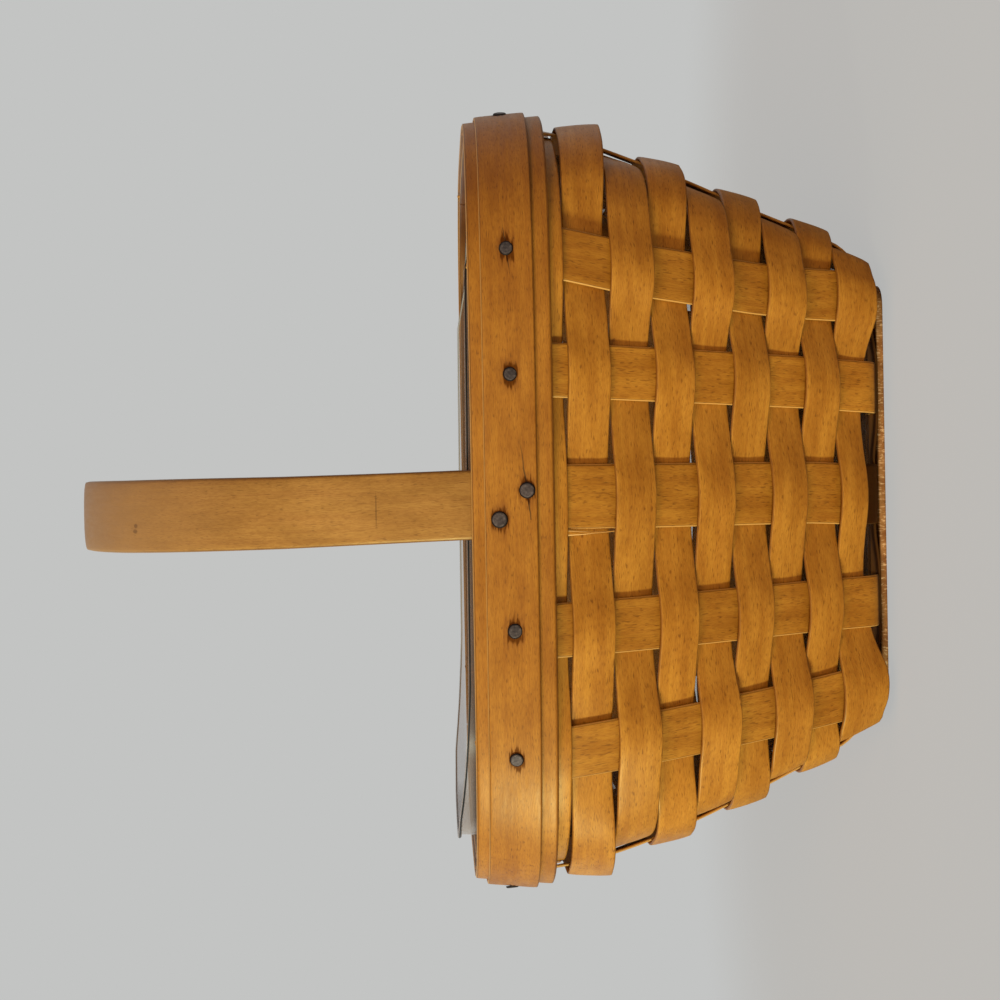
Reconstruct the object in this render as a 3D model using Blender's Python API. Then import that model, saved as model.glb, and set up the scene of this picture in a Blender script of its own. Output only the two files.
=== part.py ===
# Splint basket for pies: woven maple strips, two rim bands, a fixed arched handle and a clear liner.
#
# Metres, +Z up. The origin is the middle of the bottom board's underside, and the front is -Y.
# Ten ground splints cross under the basket and turn up on all four sides, where they are its
# stakes. Nine weavers go over and under the twenty stakes. The rim bands hold the stakes' ends
# and the handle between them. The tacks that fasten them show as heads on the trim band, and
# their shanks are left out.

import bisect
import math

import bmesh
import bpy
from mathutils import Matrix, Vector

MM = 0.001

# Wall: the line up the middle of a side, through the middle of a stake's thickness
RIM_HEIGHT = 132.5 * MM          # top edge of the wide rim band
RIM_HALF = 118.4 * MM            # half width at the rim
BASE_HALF = 69.0 * MM            # half width where the stakes leave the base
HEEL_RADIUS = 8.0 * MM           # bend from the base into the wall
HEEL_FLARE = math.radians(25)    # lean of the wall just above the heel, from upright
WALL_PULL = 40.0 * MM            # how far that lean carries up the wall
RIM_PULL = 30.0 * MM             # how far the rim's upright direction carries down the wall
RIM_UPRIGHT = 14.0 * MM          # the wall's top stretch stands upright
BASE_SQUARENESS = 14.0           # plan exponent at the base, nearly a square
RIM_SQUARENESS = 4.0             # plan exponent at the rim, a square with bowed sides

# Splints
STAKE_THICKNESS = 1.0 * MM
STAKE_WIDTH = 16.0 * MM
MIDDLE_STAKE_WIDTH = 19.0 * MM
BASE_CORNER_ROOM = 0.6 * MM      # from the outermost stake's edge to the base's corner
INNER_STAKE_BASE_SHARE = 0.55    # place of the inner stakes, as a share of the outer stakes' place
OUTER_STAKE_RIM_SHARE = 0.6413   # place of the outer stakes, as a share of the rim's half width
INNER_STAKE_RIM_SHARE = 0.508
STAKE_TOP_SETBACK = 1.0 * MM     # the stakes end this far below the rim's top
CROSSING_MARGIN = 0.5 * MM       # a strip stays level this far past the strip it crosses
HEEL_STEPS = 4
WALL_STEPS = 11

# Weavers
WEAVERS = 9
WEAVER_THICKNESS = 0.9 * MM
LOWEST_WEAVER_UP = 14.4 * MM     # from the heel to its middle, along the wall
ROW_GAP = 0.8 * MM               # mean gap between two weavers
PITCH_GROWTH = 0.14 * MM         # each next step up is longer by this
TOP_WEAVER_SHOWS = 3.2 * MM      # below the rim band
CORNER_BULGE = 1.2 * MM          # a stiff strip swings wide round a corner
CORNER_SHARES = (-1 / 2, 0, 1 / 2)   # its points between the two stakes there, as shares of the way

# Rim bands
BAND_THICKNESS = 1.4 * MM
WIDE_BAND_WIDTH = 24.0 * MM
BAND_LEAN = 0.6 * MM             # the wide band's top edge leans in by this
TRIM_BAND_WIDTH = 15.4 * MM
TRIM_BAND_SETBACK = 3.7 * MM     # its upper edge lies this far below the rim's top
INNER_BAND_WIDTH = 21.0 * MM
INNER_BAND_SETBACK = 0.5 * MM
BAND_END_GAP = 0.6 * MM          # the ends of one band meet with this slit
BAND_STATIONS = 72
WIDE_BAND_SEAM = 44              # the station where its ends meet, counted from the front
TRIM_BAND_SEAM = 28
INNER_BAND_SEAM = 24

# Handle
HANDLE_RISE = 129.2 * MM         # from the rim's top to the handle's outside
HANDLE_WIDTH_AT_RIM = 20.0 * MM
HANDLE_WIDTH_AT_TOP = 22.4 * MM
HANDLE_LEG_THICKNESS = 2.0 * MM
HANDLE_TOP_THICKNESS = 3.4 * MM
HANDLE_LEG_DEPTH = 21.0 * MM     # how far it goes down between the bands
LEG_SHARES = (1, 1 / 2)          # its points below the rim, as shares of that depth
HANDLE_ROUNDNESS = 2.3           # exponent of the arch
HANDLE_EDGE_CHAMFER = 0.5 * MM
HANDLE_STATIONS = 32
LEG_RELIEF = 11.0 * MM           # the inner band swings from here back to the wall, past the leg

# Tacks
TACK_HEAD_RADIUS = 2.1 * MM
HANDLE_TACK_HEAD_RADIUS = 2.4 * MM
TACK_HEAD_HEIGHT = 0.9 * MM
TACK_SIDES = 8
TACK_CROWN_SHARE = 0.6           # width of the flat crown as a share of the head
HANDLE_TACK_ASIDE = 4.2 * MM
HANDLE_TACK_LOWER = 4.6 * MM     # below the middle of the trim band
HANDLE_TACK_UPPER = 3.4 * MM     # above the middle of the trim band

# Bottom board
BOARD_THICKNESS = 2.2 * MM
BOARD_SETBACK = 3.8 * MM         # its edge lies this far inside the base's
BOARD_CORNER_RADIUS = 7.0 * MM
BOARD_EDGE_CHAMFER = 0.5 * MM
BOARD_CORNER_STEPS = 4

# Liner
LINER_WALL = 1.0 * MM
LINER_SIDE_GAP = 0.6 * MM        # to the inner band where that passes the handle
LINER_LIP_OVERHANG = 1.2 * MM    # the lip turns out this far
LINER_LIP_LIFT = 0.5 * MM        # the lip clears the rim's top by this
LINER_HEEL_RADIUS = 11.0 * MM
LINER_HEEL_STEPS = 4
LINER_WALL_STEPS = 4
LINER_STATIONS = 40

# Fits
FIT_GAP = 0.3 * MM               # between pieces that touch
WEAVE_GAP = 0.4 * MM             # between a weaver and a stake, which is slightly curved
BAND_SEAT_GAP = 0.8 * MM         # a flat weaver's edges stand out from the bowed band

QUARTER_TURN = math.pi / 2
FULL_TURN = 2 * math.pi
SIDES = 4
SMOOTH_ANGLE = math.radians(30)  # edges sharper than this stay sharp in the shading
SLOPE_STEP_SHARE = 0.004         # share of the wall's length used to measure its direction
HEEL_FINENESS = 24
WALL_FINENESS = 200
HALVINGS = 40                    # of the search for a level

# Places of the five stakes of a side, from its left end to its right end as seen from outside
OUTER_STAKE_AT_BASE = BASE_HALF - BASE_CORNER_ROOM - STAKE_WIDTH / 2
INNER_STAKE_AT_BASE = OUTER_STAKE_AT_BASE * INNER_STAKE_BASE_SHARE
OUTER_STAKE_AT_RIM = RIM_HALF * OUTER_STAKE_RIM_SHARE
INNER_STAKE_AT_RIM = OUTER_STAKE_AT_RIM * INNER_STAKE_RIM_SHARE
PLACES_AT_BASE = (-OUTER_STAKE_AT_BASE, -INNER_STAKE_AT_BASE, 0, INNER_STAKE_AT_BASE,
                  OUTER_STAKE_AT_BASE)
PLACES_AT_RIM = (-OUTER_STAKE_AT_RIM, -INNER_STAKE_AT_RIM, 0, INNER_STAKE_AT_RIM,
                 OUTER_STAKE_AT_RIM)
STAKES = len(PLACES_AT_BASE)
MIDDLE = STAKES // 2

# Levels that follow from the sizes above
BASE_LEVEL_STEP = STAKE_THICKNESS + FIT_GAP
BASE_MIDDLE = BOARD_THICKNESS + FIT_GAP + STAKE_THICKNESS / 2 + BASE_LEVEL_STEP / 2
BASE_TOP = BASE_MIDDLE + BASE_LEVEL_STEP / 2 + STAKE_THICKNESS / 2
WEAVE_OFFSET = STAKE_THICKNESS / 2 + WEAVE_GAP + WEAVER_THICKNESS / 2
WEAVE_FACE = WEAVE_OFFSET + WEAVER_THICKNESS / 2
LEG_FACE = STAKE_THICKNESS / 2 + FIT_GAP + HANDLE_LEG_THICKNESS
INNER_BAND_FACE = WEAVE_FACE + FIT_GAP + BAND_THICKNESS
LEG_BUMP = LEG_FACE + FIT_GAP + BAND_THICKNESS - INNER_BAND_FACE
LINER_OFFSET = INNER_BAND_FACE + LEG_BUMP + LINER_SIDE_GAP
TRIM_MIDDLE_HEIGHT = RIM_HEIGHT - TRIM_BAND_SETBACK - TRIM_BAND_WIDTH / 2


def lerp(a, b, share):
    return a + (b - a) * share


def eased(share):
    """From 0 to 1 with a level start and end."""
    share = min(max(share, 0), 1)
    return share * share * (3 - 2 * share)


def bezier(a, b, c, d, t):
    s = 1 - t
    return a * s ** 3 + 3 * b * s * s * t + 3 * c * s * t * t + d * t ** 3


# The wall's surface. A level is the share of the length up the wall, 0 at the heel and 1 at the rim.

def wall_outline():
    """Points up the middle of a side as half width and height: a round heel, then a long curve."""
    turn = QUARTER_TURN - HEEL_FLARE
    points = []
    for i in range(HEEL_FINENESS):
        angle = turn * i / HEEL_FINENESS
        points.append((BASE_HALF + HEEL_RADIUS * math.sin(angle),
                       BASE_MIDDLE + HEEL_RADIUS * (1 - math.cos(angle))))
    half = BASE_HALF + HEEL_RADIUS * math.sin(turn)
    height = BASE_MIDDLE + HEEL_RADIUS * (1 - math.cos(turn))
    lean, rise = WALL_PULL * math.sin(HEEL_FLARE), WALL_PULL * math.cos(HEEL_FLARE)
    curve_top = RIM_HEIGHT - RIM_UPRIGHT
    for i in range(WALL_FINENESS + 1):
        share = i / WALL_FINENESS
        points.append((bezier(half, half + lean, RIM_HALF, RIM_HALF, share),
                       bezier(height, height + rise, curve_top - RIM_PULL, curve_top, share)))
    points.append((RIM_HALF, RIM_HEIGHT))
    return points


def lengths_along(points):
    lengths = [0.0]
    for a, b in zip(points, points[1:]):
        lengths.append(lengths[-1] + math.dist(a, b))
    return lengths


OUTLINE = wall_outline()
LENGTHS = lengths_along(OUTLINE)
WALL_LENGTH = LENGTHS[-1]


def wall_place(level):
    """Half width and height of the wall at a level."""
    length = min(max(level, 0), 1) * WALL_LENGTH
    i = min(bisect.bisect_right(LENGTHS, length), len(LENGTHS) - 1)
    share = (length - LENGTHS[i - 1]) / (LENGTHS[i] - LENGTHS[i - 1])
    low, high = OUTLINE[i - 1], OUTLINE[i]
    return lerp(low[0], high[0], share), lerp(low[1], high[1], share)


def wall_half(level):
    """Half width of the basket at a level."""
    return wall_place(level)[0]


def wall_height(level):
    return wall_place(level)[1]


def level_at_height(height):
    """Level of the wall at a height."""
    low, high = 0.0, 1.0
    for _ in range(HALVINGS):
        middle = (low + high) / 2
        if wall_height(middle) < height:
            low = middle
        else:
            high = middle
    return (low + high) / 2


# The weavers share out the wall between the lowest one's place and the rim band
BAND_FOOT_ALONG = level_at_height(RIM_HEIGHT - WIDE_BAND_WIDTH) * WALL_LENGTH
WEAVER_PITCH = ((BAND_FOOT_ALONG - TOP_WEAVER_SHOWS - ROW_GAP / 2 - LOWEST_WEAVER_UP)
                / (WEAVERS - 1 - 1 / 2))
WEAVER_WIDTH = WEAVER_PITCH - ROW_GAP


def squareness(level):
    return 1 / lerp(1 / BASE_SQUARENESS, 1 / RIM_SQUARENESS, level)


def stake_place(index, level):
    """How far a stake stands to the side of its side's middle."""
    share = (wall_height(level) - BASE_MIDDLE) / (RIM_HEIGHT - BASE_MIDDLE)
    return lerp(PLACES_AT_BASE[index], PLACES_AT_RIM[index], share)


def stake_width(index):
    return MIDDLE_STAKE_WIDTH if index == MIDDLE else STAKE_WIDTH


def plan_point(half, exponent, angle):
    """Point of the bowed square at an angle from the front's middle, towards +X."""
    s, c = math.sin(angle), math.cos(angle)
    reach = half / (abs(s) ** exponent + abs(c) ** exponent) ** (1 / exponent)
    return Vector((reach * s, -reach * c, 0))


def plan_normal(point, exponent):
    """Outward direction of the bowed square at one of its points."""
    size = max(abs(point.x), abs(point.y))
    x = math.copysign(abs(point.x / size) ** (exponent - 1), point.x)
    y = math.copysign(abs(point.y / size) ** (exponent - 1), point.y)
    return Vector((x, y, 0)).normalized()


def frame_from(point_at, level):
    """Place, direction across, direction up the wall and outward normal at a level."""
    below, above = max(level - SLOPE_STEP_SHARE, 0), min(level + SLOPE_STEP_SHARE, 1)
    point = point_at(level)
    up = (point_at(above) - point_at(below)).normalized()
    outward = plan_normal(point, squareness(level))
    across = Vector((-outward.y, outward.x, 0))
    across = (across - up * across.dot(up)).normalized()
    return point, across, up, across.cross(up)


def turned(frame, side):
    turn = Matrix.Rotation(side * QUARTER_TURN, 3, 'Z')
    return tuple(turn @ v for v in frame)


def stake_frame(side, index, level):
    """Frame in the middle of a stake; side 0 is the front, and the sides follow towards +X."""
    def point_at(at):
        half, exponent = wall_half(at), squareness(at)
        place = stake_place(index, at)
        depth = half * (1 - abs(place / half) ** exponent) ** (1 / exponent)
        return Vector((place, -depth, wall_height(at)))
    return turned(frame_from(point_at, level), side)


def wall_frame(angle, level, bulge=0.0):
    """Frame on the wall at an angle round the basket, moved out by a bulge."""
    def point_at(at):
        point = plan_point(wall_half(at) + bulge, squareness(at), angle)
        return point + Vector((0, 0, wall_height(at)))
    return frame_from(point_at, level)


# Making pieces

def material(name, color, roughness, alpha=1.0):
    made = bpy.data.materials.new(name)
    made.use_nodes = True
    shader = made.node_tree.nodes['Principled BSDF']
    shader.inputs['Base Color'].default_value = (*color, 1)
    shader.inputs['Roughness'].default_value = roughness
    shader.inputs['Metallic'].default_value = 0
    shader.inputs['Alpha'].default_value = alpha
    return made


def finished_mesh(name, builder, made_of):
    """Turns a built shape into a mesh with its faces out, its material and smooth shading."""
    mesh = bpy.data.meshes.new(name)
    bmesh.ops.recalc_face_normals(builder, faces=builder.faces)
    builder.to_mesh(mesh)
    builder.free()
    mesh.materials.append(made_of)
    mesh.shade_smooth()
    mesh.set_sharp_from_angle(angle=SMOOTH_ANGLE)
    return mesh


def add_object(name, mesh):
    made = bpy.data.objects.new(name, mesh)
    bpy.context.collection.objects.link(made)
    return made


def skin(builder, rings):
    """Joins rings of equally many points and caps both ends."""
    rows = [[builder.verts.new(p) for p in ring] for ring in rings]
    count = len(rows[0])
    for a, b in zip(rows, rows[1:]):
        for i in range(count):
            j = (i + 1) % count
            builder.faces.new((a[i], a[j], b[j], b[i]))
    builder.faces.new(reversed(rows[0]))
    builder.faces.new(rows[-1])


def strip_ring(point, across, normal, width, thickness):
    """Cross-section of a flat strip."""
    half_w, half_t = across * width / 2, normal * thickness / 2
    return [point - half_w - half_t, point + half_w - half_t,
            point + half_w + half_t, point - half_w + half_t]


def strip(name, rings, made_of):
    builder = bmesh.new()
    skin(builder, rings)
    return add_object(name, finished_mesh(name, builder, made_of))


# Ground splints

def splint_wall_rings(index, start_offset, width):
    """Rings of one stake on the front, from the heel to its top."""
    top = level_at_height(RIM_HEIGHT - STAKE_TOP_SETBACK)
    heel = HEEL_RADIUS * (QUARTER_TURN - HEEL_FLARE) / WALL_LENGTH
    levels = [heel * i / HEEL_STEPS for i in range(HEEL_STEPS)]
    levels += [lerp(heel, top, i / WALL_STEPS) for i in range(WALL_STEPS + 1)]
    rings = []
    for level in levels:
        point, across, _, normal = stake_frame(0, index, level)
        offset = start_offset * (1 - min(level / heel, 1))
        # on the base the outward normal points down
        rings.append(strip_ring(point - normal * offset, across, normal, width, STAKE_THICKNESS))
    return rings


def ground_splint(name, index, even_level, turn, made_of):
    """A strip from rim to rim under the basket, along Y before it is turned.

    even_level is 1 where the splint lies above the first strip that it crosses if its index is
    even, and -1 where it lies below.
    """
    width = stake_width(index)
    step = BASE_LEVEL_STEP / 2

    def level_over(crossing):
        return even_level * step if (crossing + index) % 2 == 0 else -even_level * step

    front = splint_wall_rings(index, level_over(0), width)
    back = splint_wall_rings(STAKES - 1 - index, level_over(STAKES - 1), width)
    half_turn = Matrix.Rotation(2 * QUARTER_TURN, 3, 'Z')
    back = [[half_turn @ p for p in (ring[1], ring[0], ring[3], ring[2])] for ring in back]
    rings = list(reversed(front))
    for crossing in range(STAKES):
        reach = stake_width(crossing) / 2 + CROSSING_MARGIN
        for end in (-reach, reach):
            point = Vector((PLACES_AT_BASE[index], PLACES_AT_BASE[crossing] + end,
                            BASE_MIDDLE + level_over(crossing)))
            rings.append(strip_ring(point, Vector((1, 0, 0)), Vector((0, 0, -1)), width,
                                    STAKE_THICKNESS))
    rings += back
    made = strip(name, rings, made_of)
    made.rotation_euler.z = turn
    return made


# Weavers

def weaver_middles():
    """Length up the wall of each weaver's middle, from the lowest to the highest."""
    steps = WEAVERS - 1
    middles = [LOWEST_WEAVER_UP]
    for i in range(steps):
        middles.append(middles[-1] + WEAVER_PITCH + (i - (steps - 1) / 2) * PITCH_GROWTH)
    return middles


def corner_room(level):
    """Angle from a corner's middle to the edge of the next stake."""
    point, across, _, _ = stake_frame(0, STAKES - 1, level)
    edge = point + across * (STAKE_WIDTH / 2 + CROSSING_MARGIN)
    return QUARTER_TURN / 2 - math.atan2(edge.x, -edge.y)


def weaver_ring(frame_at, levels, aside, offset):
    """Cross-section of a weaver, whose two edges follow the wall at their own levels."""
    half_t = WEAVER_THICKNESS / 2
    lower, upper = (frame_at(level) for level in levels)
    points = []
    for frame, toward in ((lower, -half_t), (upper, -half_t), (upper, half_t), (lower, half_t)):
        point, across, _, normal = frame
        points.append(point + across * aside + normal * (offset + toward))
    return points


def weaver(name, row, middle, made_of):
    """A strip woven round the twenty stakes, whose two ends lap behind one stake at the back.

    row counts from the top, where it is 0.
    """
    is_top = row == 0
    levels = tuple((middle + edge) / WALL_LENGTH for edge in (-WEAVER_WIDTH / 2, WEAVER_WIDTH / 2))
    room = corner_room(middle / WALL_LENGTH)
    bulge = 0 if is_top else CORNER_BULGE

    def offset_at(count):
        # the top weaver passes outside the first and the middle stake of the front
        return WEAVE_OFFSET if (count + row) % 2 == 0 else -WEAVE_OFFSET

    # starts behind a stake of the back, goes once round and ends behind the same stake
    start = 2 * STAKES + (0 if offset_at(2 * STAKES) < 0 else 1)
    stakes_round = SIDES * STAKES
    rings = []
    for step in range(stakes_round + 1):
        count = (start + step) % stakes_round
        side, index = divmod(count, STAKES)
        reach = stake_width(index) / 2 + CROSSING_MARGIN
        ends = [-reach, reach]
        offset = offset_at(count)
        if step == 0:
            # the top weaver has no room for a lap under the inner band, so its ends meet
            ends = [BAND_END_GAP / 2, reach] if is_top else [-reach, reach]
        if step == stakes_round:
            ends = [-reach, -BAND_END_GAP / 2] if is_top else [-reach, reach]
            offset -= 0 if is_top else WEAVER_THICKNESS + FIT_GAP

        def at_stake(level, side=side, index=index):
            return stake_frame(side, index, level)
        for end in ends:
            rings.append(weaver_ring(at_stake, levels, end, offset))
        if index == STAKES - 1 and step < stakes_round:
            for share in CORNER_SHARES:
                angle = (side + 1 / 2) * QUARTER_TURN + share * room

                def at_corner(level, angle=angle):
                    return wall_frame(angle, level, bulge)
                rings.append(weaver_ring(at_corner, levels, 0, -offset * share))
    return strip(name, rings, made_of)


# Rim bands

def leg_swing(point, bump):
    """How far a band swings in to pass the handle's legs, at a point of the rim."""
    if abs(point.y) < abs(point.x):
        return 0
    clear = INNER_STAKE_AT_RIM - STAKE_WIDTH / 2
    return bump * (1 - eased((abs(point.x) - LEG_RELIEF) / (clear - LEG_RELIEF)))


def band(name, height, width, foot_face, top_face, seam_station, bump, made_of):
    """A flat band round the rim. The faces are the offsets of its inner face from the wall.

    height is that of its top edge, and its two ends meet at the seam station.
    """
    levels = (level_at_height(height - width), level_at_height(height))
    faces = (foot_face, top_face)
    slit = BAND_END_GAP / RIM_HALF
    rings = []
    for i in range(BAND_STATIONS + 1):
        angle = FULL_TURN * (seam_station + i) / BAND_STATIONS
        if i == 0:
            angle += slit / 2
        if i == BAND_STATIONS:
            angle -= slit / 2
        edges = []
        for level, face, at_height in zip(levels, faces, (height - width, height)):
            point, _, _, normal = wall_frame(angle, level)
            flat = Vector((normal.x, normal.y, 0)).normalized()
            base = Vector((point.x, point.y, at_height))
            base += flat * (face - leg_swing(point, bump))
            edges.append((base, base + flat * BAND_THICKNESS))
        (foot_in, foot_out), (top_in, top_out) = edges
        rings.append([foot_in, top_in, top_out, foot_out])
    return strip(name, rings, made_of)


def wide_band_face(height):
    """Offset of the wide band's inner face from the wall. It is straight up and down.

    It touches the top weaver's upper edge, and leans in from its foot to its top.
    """
    weaver_top = RIM_HEIGHT - WIDE_BAND_WIDTH - TOP_WEAVER_SHOWS + WEAVER_WIDTH
    touch = wall_half(level_at_height(weaver_top)) + WEAVE_FACE + BAND_SEAT_GAP
    lean = BAND_LEAN / (RIM_HEIGHT - weaver_top)
    return touch + (weaver_top - height) * lean - wall_half(level_at_height(height))


# Handle

def handle_arch(share):
    """Centre line of the arch from the front leg, at 0, over to the back leg, at 1."""
    angle = share * 2 * QUARTER_TURN
    reach = wall_half(1) - LEG_FACE + HANDLE_LEG_THICKNESS / 2
    rise = HANDLE_RISE - HANDLE_TOP_THICKNESS / 2
    c, s = math.cos(angle), math.sin(angle)
    power = 2 / HANDLE_ROUNDNESS
    return Vector((0, -math.copysign(reach * abs(c) ** power, c), RIM_HEIGHT + rise * s ** power))


def handle(made_of):
    middle = [handle_arch(i / HANDLE_STATIONS) for i in range(HANDLE_STATIONS + 1)]
    legs = []
    for share in LEG_SHARES:
        height = RIM_HEIGHT - HANDLE_LEG_DEPTH * share
        depth = wall_half(level_at_height(height)) - LEG_FACE + HANDLE_LEG_THICKNESS / 2
        legs.append(Vector((0, -depth, height)))
    mirrored = [Vector((0, -p.y, p.z)) for p in reversed(legs)]
    path = legs + middle + mirrored
    rings = []
    for i, point in enumerate(path):
        before, after = path[max(i - 1, 0)], path[min(i + 1, len(path) - 1)]
        along = (after - before).normalized()
        across = Vector((1, 0, 0))
        normal = across.cross(along)
        swell = eased((point.z - RIM_HEIGHT) / HANDLE_RISE)
        half_w = lerp(HANDLE_WIDTH_AT_RIM, HANDLE_WIDTH_AT_TOP, swell) / 2
        half_t = lerp(HANDLE_LEG_THICKNESS, HANDLE_TOP_THICKNESS, swell) / 2
        c = HANDLE_EDGE_CHAMFER
        outline = ((half_w - c, half_t), (half_w, half_t - c), (half_w, c - half_t),
                   (half_w - c, -half_t), (c - half_w, -half_t), (-half_w, c - half_t),
                   (-half_w, half_t - c), (c - half_w, half_t))
        rings.append([point + across * x + normal * y for x, y in outline])
    return strip('handle', rings, made_of)


# Tacks

def tack_head(name, radius, made_of):
    """Mesh of a low domed head, flat on its underside, with its axis along +Z."""
    builder = bmesh.new()
    rings = []
    for rise, share in ((0, 1), (TACK_HEAD_HEIGHT / 2, 1), (TACK_HEAD_HEIGHT, TACK_CROWN_SHARE)):
        ring = []
        for i in range(TACK_SIDES):
            angle = (i + 1 / 2) * FULL_TURN / TACK_SIDES
            spoke = Vector((math.cos(angle), math.sin(angle), 0))
            ring.append(spoke * radius * share + Vector((0, 0, rise)))
        rings.append(ring)
    skin(builder, rings)
    return finished_mesh(name, builder, made_of)


def trim_band_face(height):
    return wide_band_face(height) + BAND_THICKNESS + FIT_GAP


def place_tack(name, mesh, side, index, height, aside):
    """Seats a tack on the trim band's outer face over a stake."""
    point, across, _, normal = stake_frame(side, index, level_at_height(height))
    outward = Vector((normal.x, normal.y, 0)).normalized()
    face = trim_band_face(height) + BAND_THICKNESS + FIT_GAP
    made = add_object(name, mesh)
    made.location = point + across * aside + outward * face
    made.rotation_euler = outward.to_track_quat('Z', 'Y').to_euler()


def rim_tacks(made_of):
    """One tack at each stake, apart from the two that carry the handle."""
    mesh = tack_head('rim_tack', TACK_HEAD_RADIUS, made_of)
    stakes = [(side, index) for side in range(SIDES) for index in range(STAKES)
              if index != MIDDLE or side % 2 == 1]
    for number, (side, index) in enumerate(stakes, 1):
        place_tack(f'rim_tack_{number}', mesh, side, index, TRIM_MIDDLE_HEIGHT, 0)


def handle_tacks(made_of):
    """Two tacks at each leg of the handle, one above the other and a little aside."""
    mesh = tack_head('handle_tack', HANDLE_TACK_HEAD_RADIUS, made_of)
    for number, side in enumerate((0, 2)):
        place_tack(f'handle_tack_{2 * number + 1}', mesh, side, MIDDLE,
                   TRIM_MIDDLE_HEIGHT - HANDLE_TACK_LOWER, HANDLE_TACK_ASIDE)
        place_tack(f'handle_tack_{2 * number + 2}', mesh, side, MIDDLE,
                   TRIM_MIDDLE_HEIGHT + HANDLE_TACK_UPPER, -HANDLE_TACK_ASIDE)


# Bottom board

def bottom_board(made_of):
    """Thin square board with round corners and broken edges, under the crossed splints."""
    def outline(inset, height):
        ring = []
        radius = BOARD_CORNER_RADIUS - inset
        centre = BASE_HALF - BOARD_SETBACK - BOARD_CORNER_RADIUS
        for corner in range(SIDES):
            middle = Matrix.Rotation(corner * QUARTER_TURN, 3, 'Z') @ Vector((centre, -centre, 0))
            for step in range(BOARD_CORNER_STEPS + 1):
                angle = (corner - 1 + step / BOARD_CORNER_STEPS) * QUARTER_TURN
                spoke = Vector((math.cos(angle), math.sin(angle), 0)) * radius
                ring.append(middle + spoke + Vector((0, 0, height)))
        return ring
    builder = bmesh.new()
    c = BOARD_EDGE_CHAMFER
    skin(builder, [outline(c, 0), outline(0, c), outline(0, BOARD_THICKNESS - c),
                   outline(c, BOARD_THICKNESS)])
    return add_object('bottom_board', finished_mesh('bottom_board', builder, made_of))


# Liner

def liner(made_of):
    """Clear tray that fits the basket: flat floor, round heel, flared wall and a lip turned out."""
    floor = BASE_TOP + FIT_GAP
    lip_foot = RIM_HEIGHT + LINER_LIP_LIFT
    heel_half = wall_half(level_at_height(floor + LINER_HEEL_RADIUS)) - LINER_OFFSET

    def outline(wall):
        """Half widths and heights up one face; wall is 0 for the outer face."""
        radius = LINER_HEEL_RADIUS - wall
        points = []
        for i in range(LINER_HEEL_STEPS + 1):
            angle = i / LINER_HEEL_STEPS * QUARTER_TURN
            points.append((heel_half - LINER_HEEL_RADIUS + radius * math.sin(angle),
                           floor + LINER_HEEL_RADIUS - radius * math.cos(angle)))
        for i in range(1, LINER_WALL_STEPS + 1):
            height = lerp(floor + LINER_HEEL_RADIUS, lip_foot + wall, i / LINER_WALL_STEPS)
            half = wall_half(level_at_height(min(height, RIM_HEIGHT))) - LINER_OFFSET - wall
            points.append((half, height))
        return points

    outer, inner = outline(0), outline(LINER_WALL)
    lip_half = outer[-1][0] + LINER_LIP_OVERHANG
    section = outer + [(lip_half, lip_foot), (lip_half, lip_foot + LINER_WALL)]
    section += list(reversed(inner))
    builder = bmesh.new()
    rings = []
    for half, height in section:
        exponent = squareness(level_at_height(min(height, RIM_HEIGHT)))
        ring = []
        for i in range(LINER_STATIONS):
            angle = (i + 1 / 2) * FULL_TURN / LINER_STATIONS
            point = plan_point(half, exponent, angle)
            ring.append(point + Vector((0, 0, height)))
        rings.append(ring)
    skin(builder, rings)
    return add_object('clear_liner', finished_mesh('clear_liner', builder, made_of))


def main():
    for old in list(bpy.data.objects):
        bpy.data.objects.remove(old, do_unlink=True)

    stake_wood = material('maple_stake', (0.52, 0.29, 0.09), 0.38)
    weaver_wood = material('maple_weaver', (0.50, 0.27, 0.08), 0.38)
    band_wood = material('maple_band', (0.46, 0.23, 0.06), 0.36)
    handle_wood = material('maple_handle', (0.42, 0.20, 0.05), 0.36)
    board_wood = material('maple_board', (0.44, 0.24, 0.08), 0.5)
    tack_metal = material('tack_steel', (0.05, 0.05, 0.06), 0.35)
    tack_metal.node_tree.nodes['Principled BSDF'].inputs['Metallic'].default_value = 1
    liner_plastic = material('clear_plastic', (0.80, 0.86, 0.90), 0.08, alpha=0.3)

    bottom_board(board_wood)
    for index in range(STAKES):
        ground_splint(f'long_splint_{index + 1}', index, -1, 0, stake_wood)
        ground_splint(f'cross_splint_{index + 1}', index, 1, QUARTER_TURN, stake_wood)
    for number, middle in enumerate(weaver_middles(), 1):
        weaver(f'weaver_{number}', WEAVERS - number, middle, weaver_wood)

    foot = RIM_HEIGHT - WIDE_BAND_WIDTH
    band('outer_rim_band', RIM_HEIGHT, WIDE_BAND_WIDTH, wide_band_face(foot),
         wide_band_face(RIM_HEIGHT), WIDE_BAND_SEAM, 0, band_wood)
    trim_top = RIM_HEIGHT - TRIM_BAND_SETBACK
    band('rim_trim_band', trim_top, TRIM_BAND_WIDTH, trim_band_face(trim_top - TRIM_BAND_WIDTH),
         trim_band_face(trim_top), TRIM_BAND_SEAM, 0, band_wood)
    inner_face = -INNER_BAND_FACE
    band('inner_rim_band', RIM_HEIGHT - INNER_BAND_SETBACK, INNER_BAND_WIDTH, inner_face,
         inner_face, INNER_BAND_SEAM, LEG_BUMP, band_wood)

    handle(handle_wood)
    rim_tacks(tack_metal)
    handle_tacks(tack_metal)
    liner(liner_plastic)


main()
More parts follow.
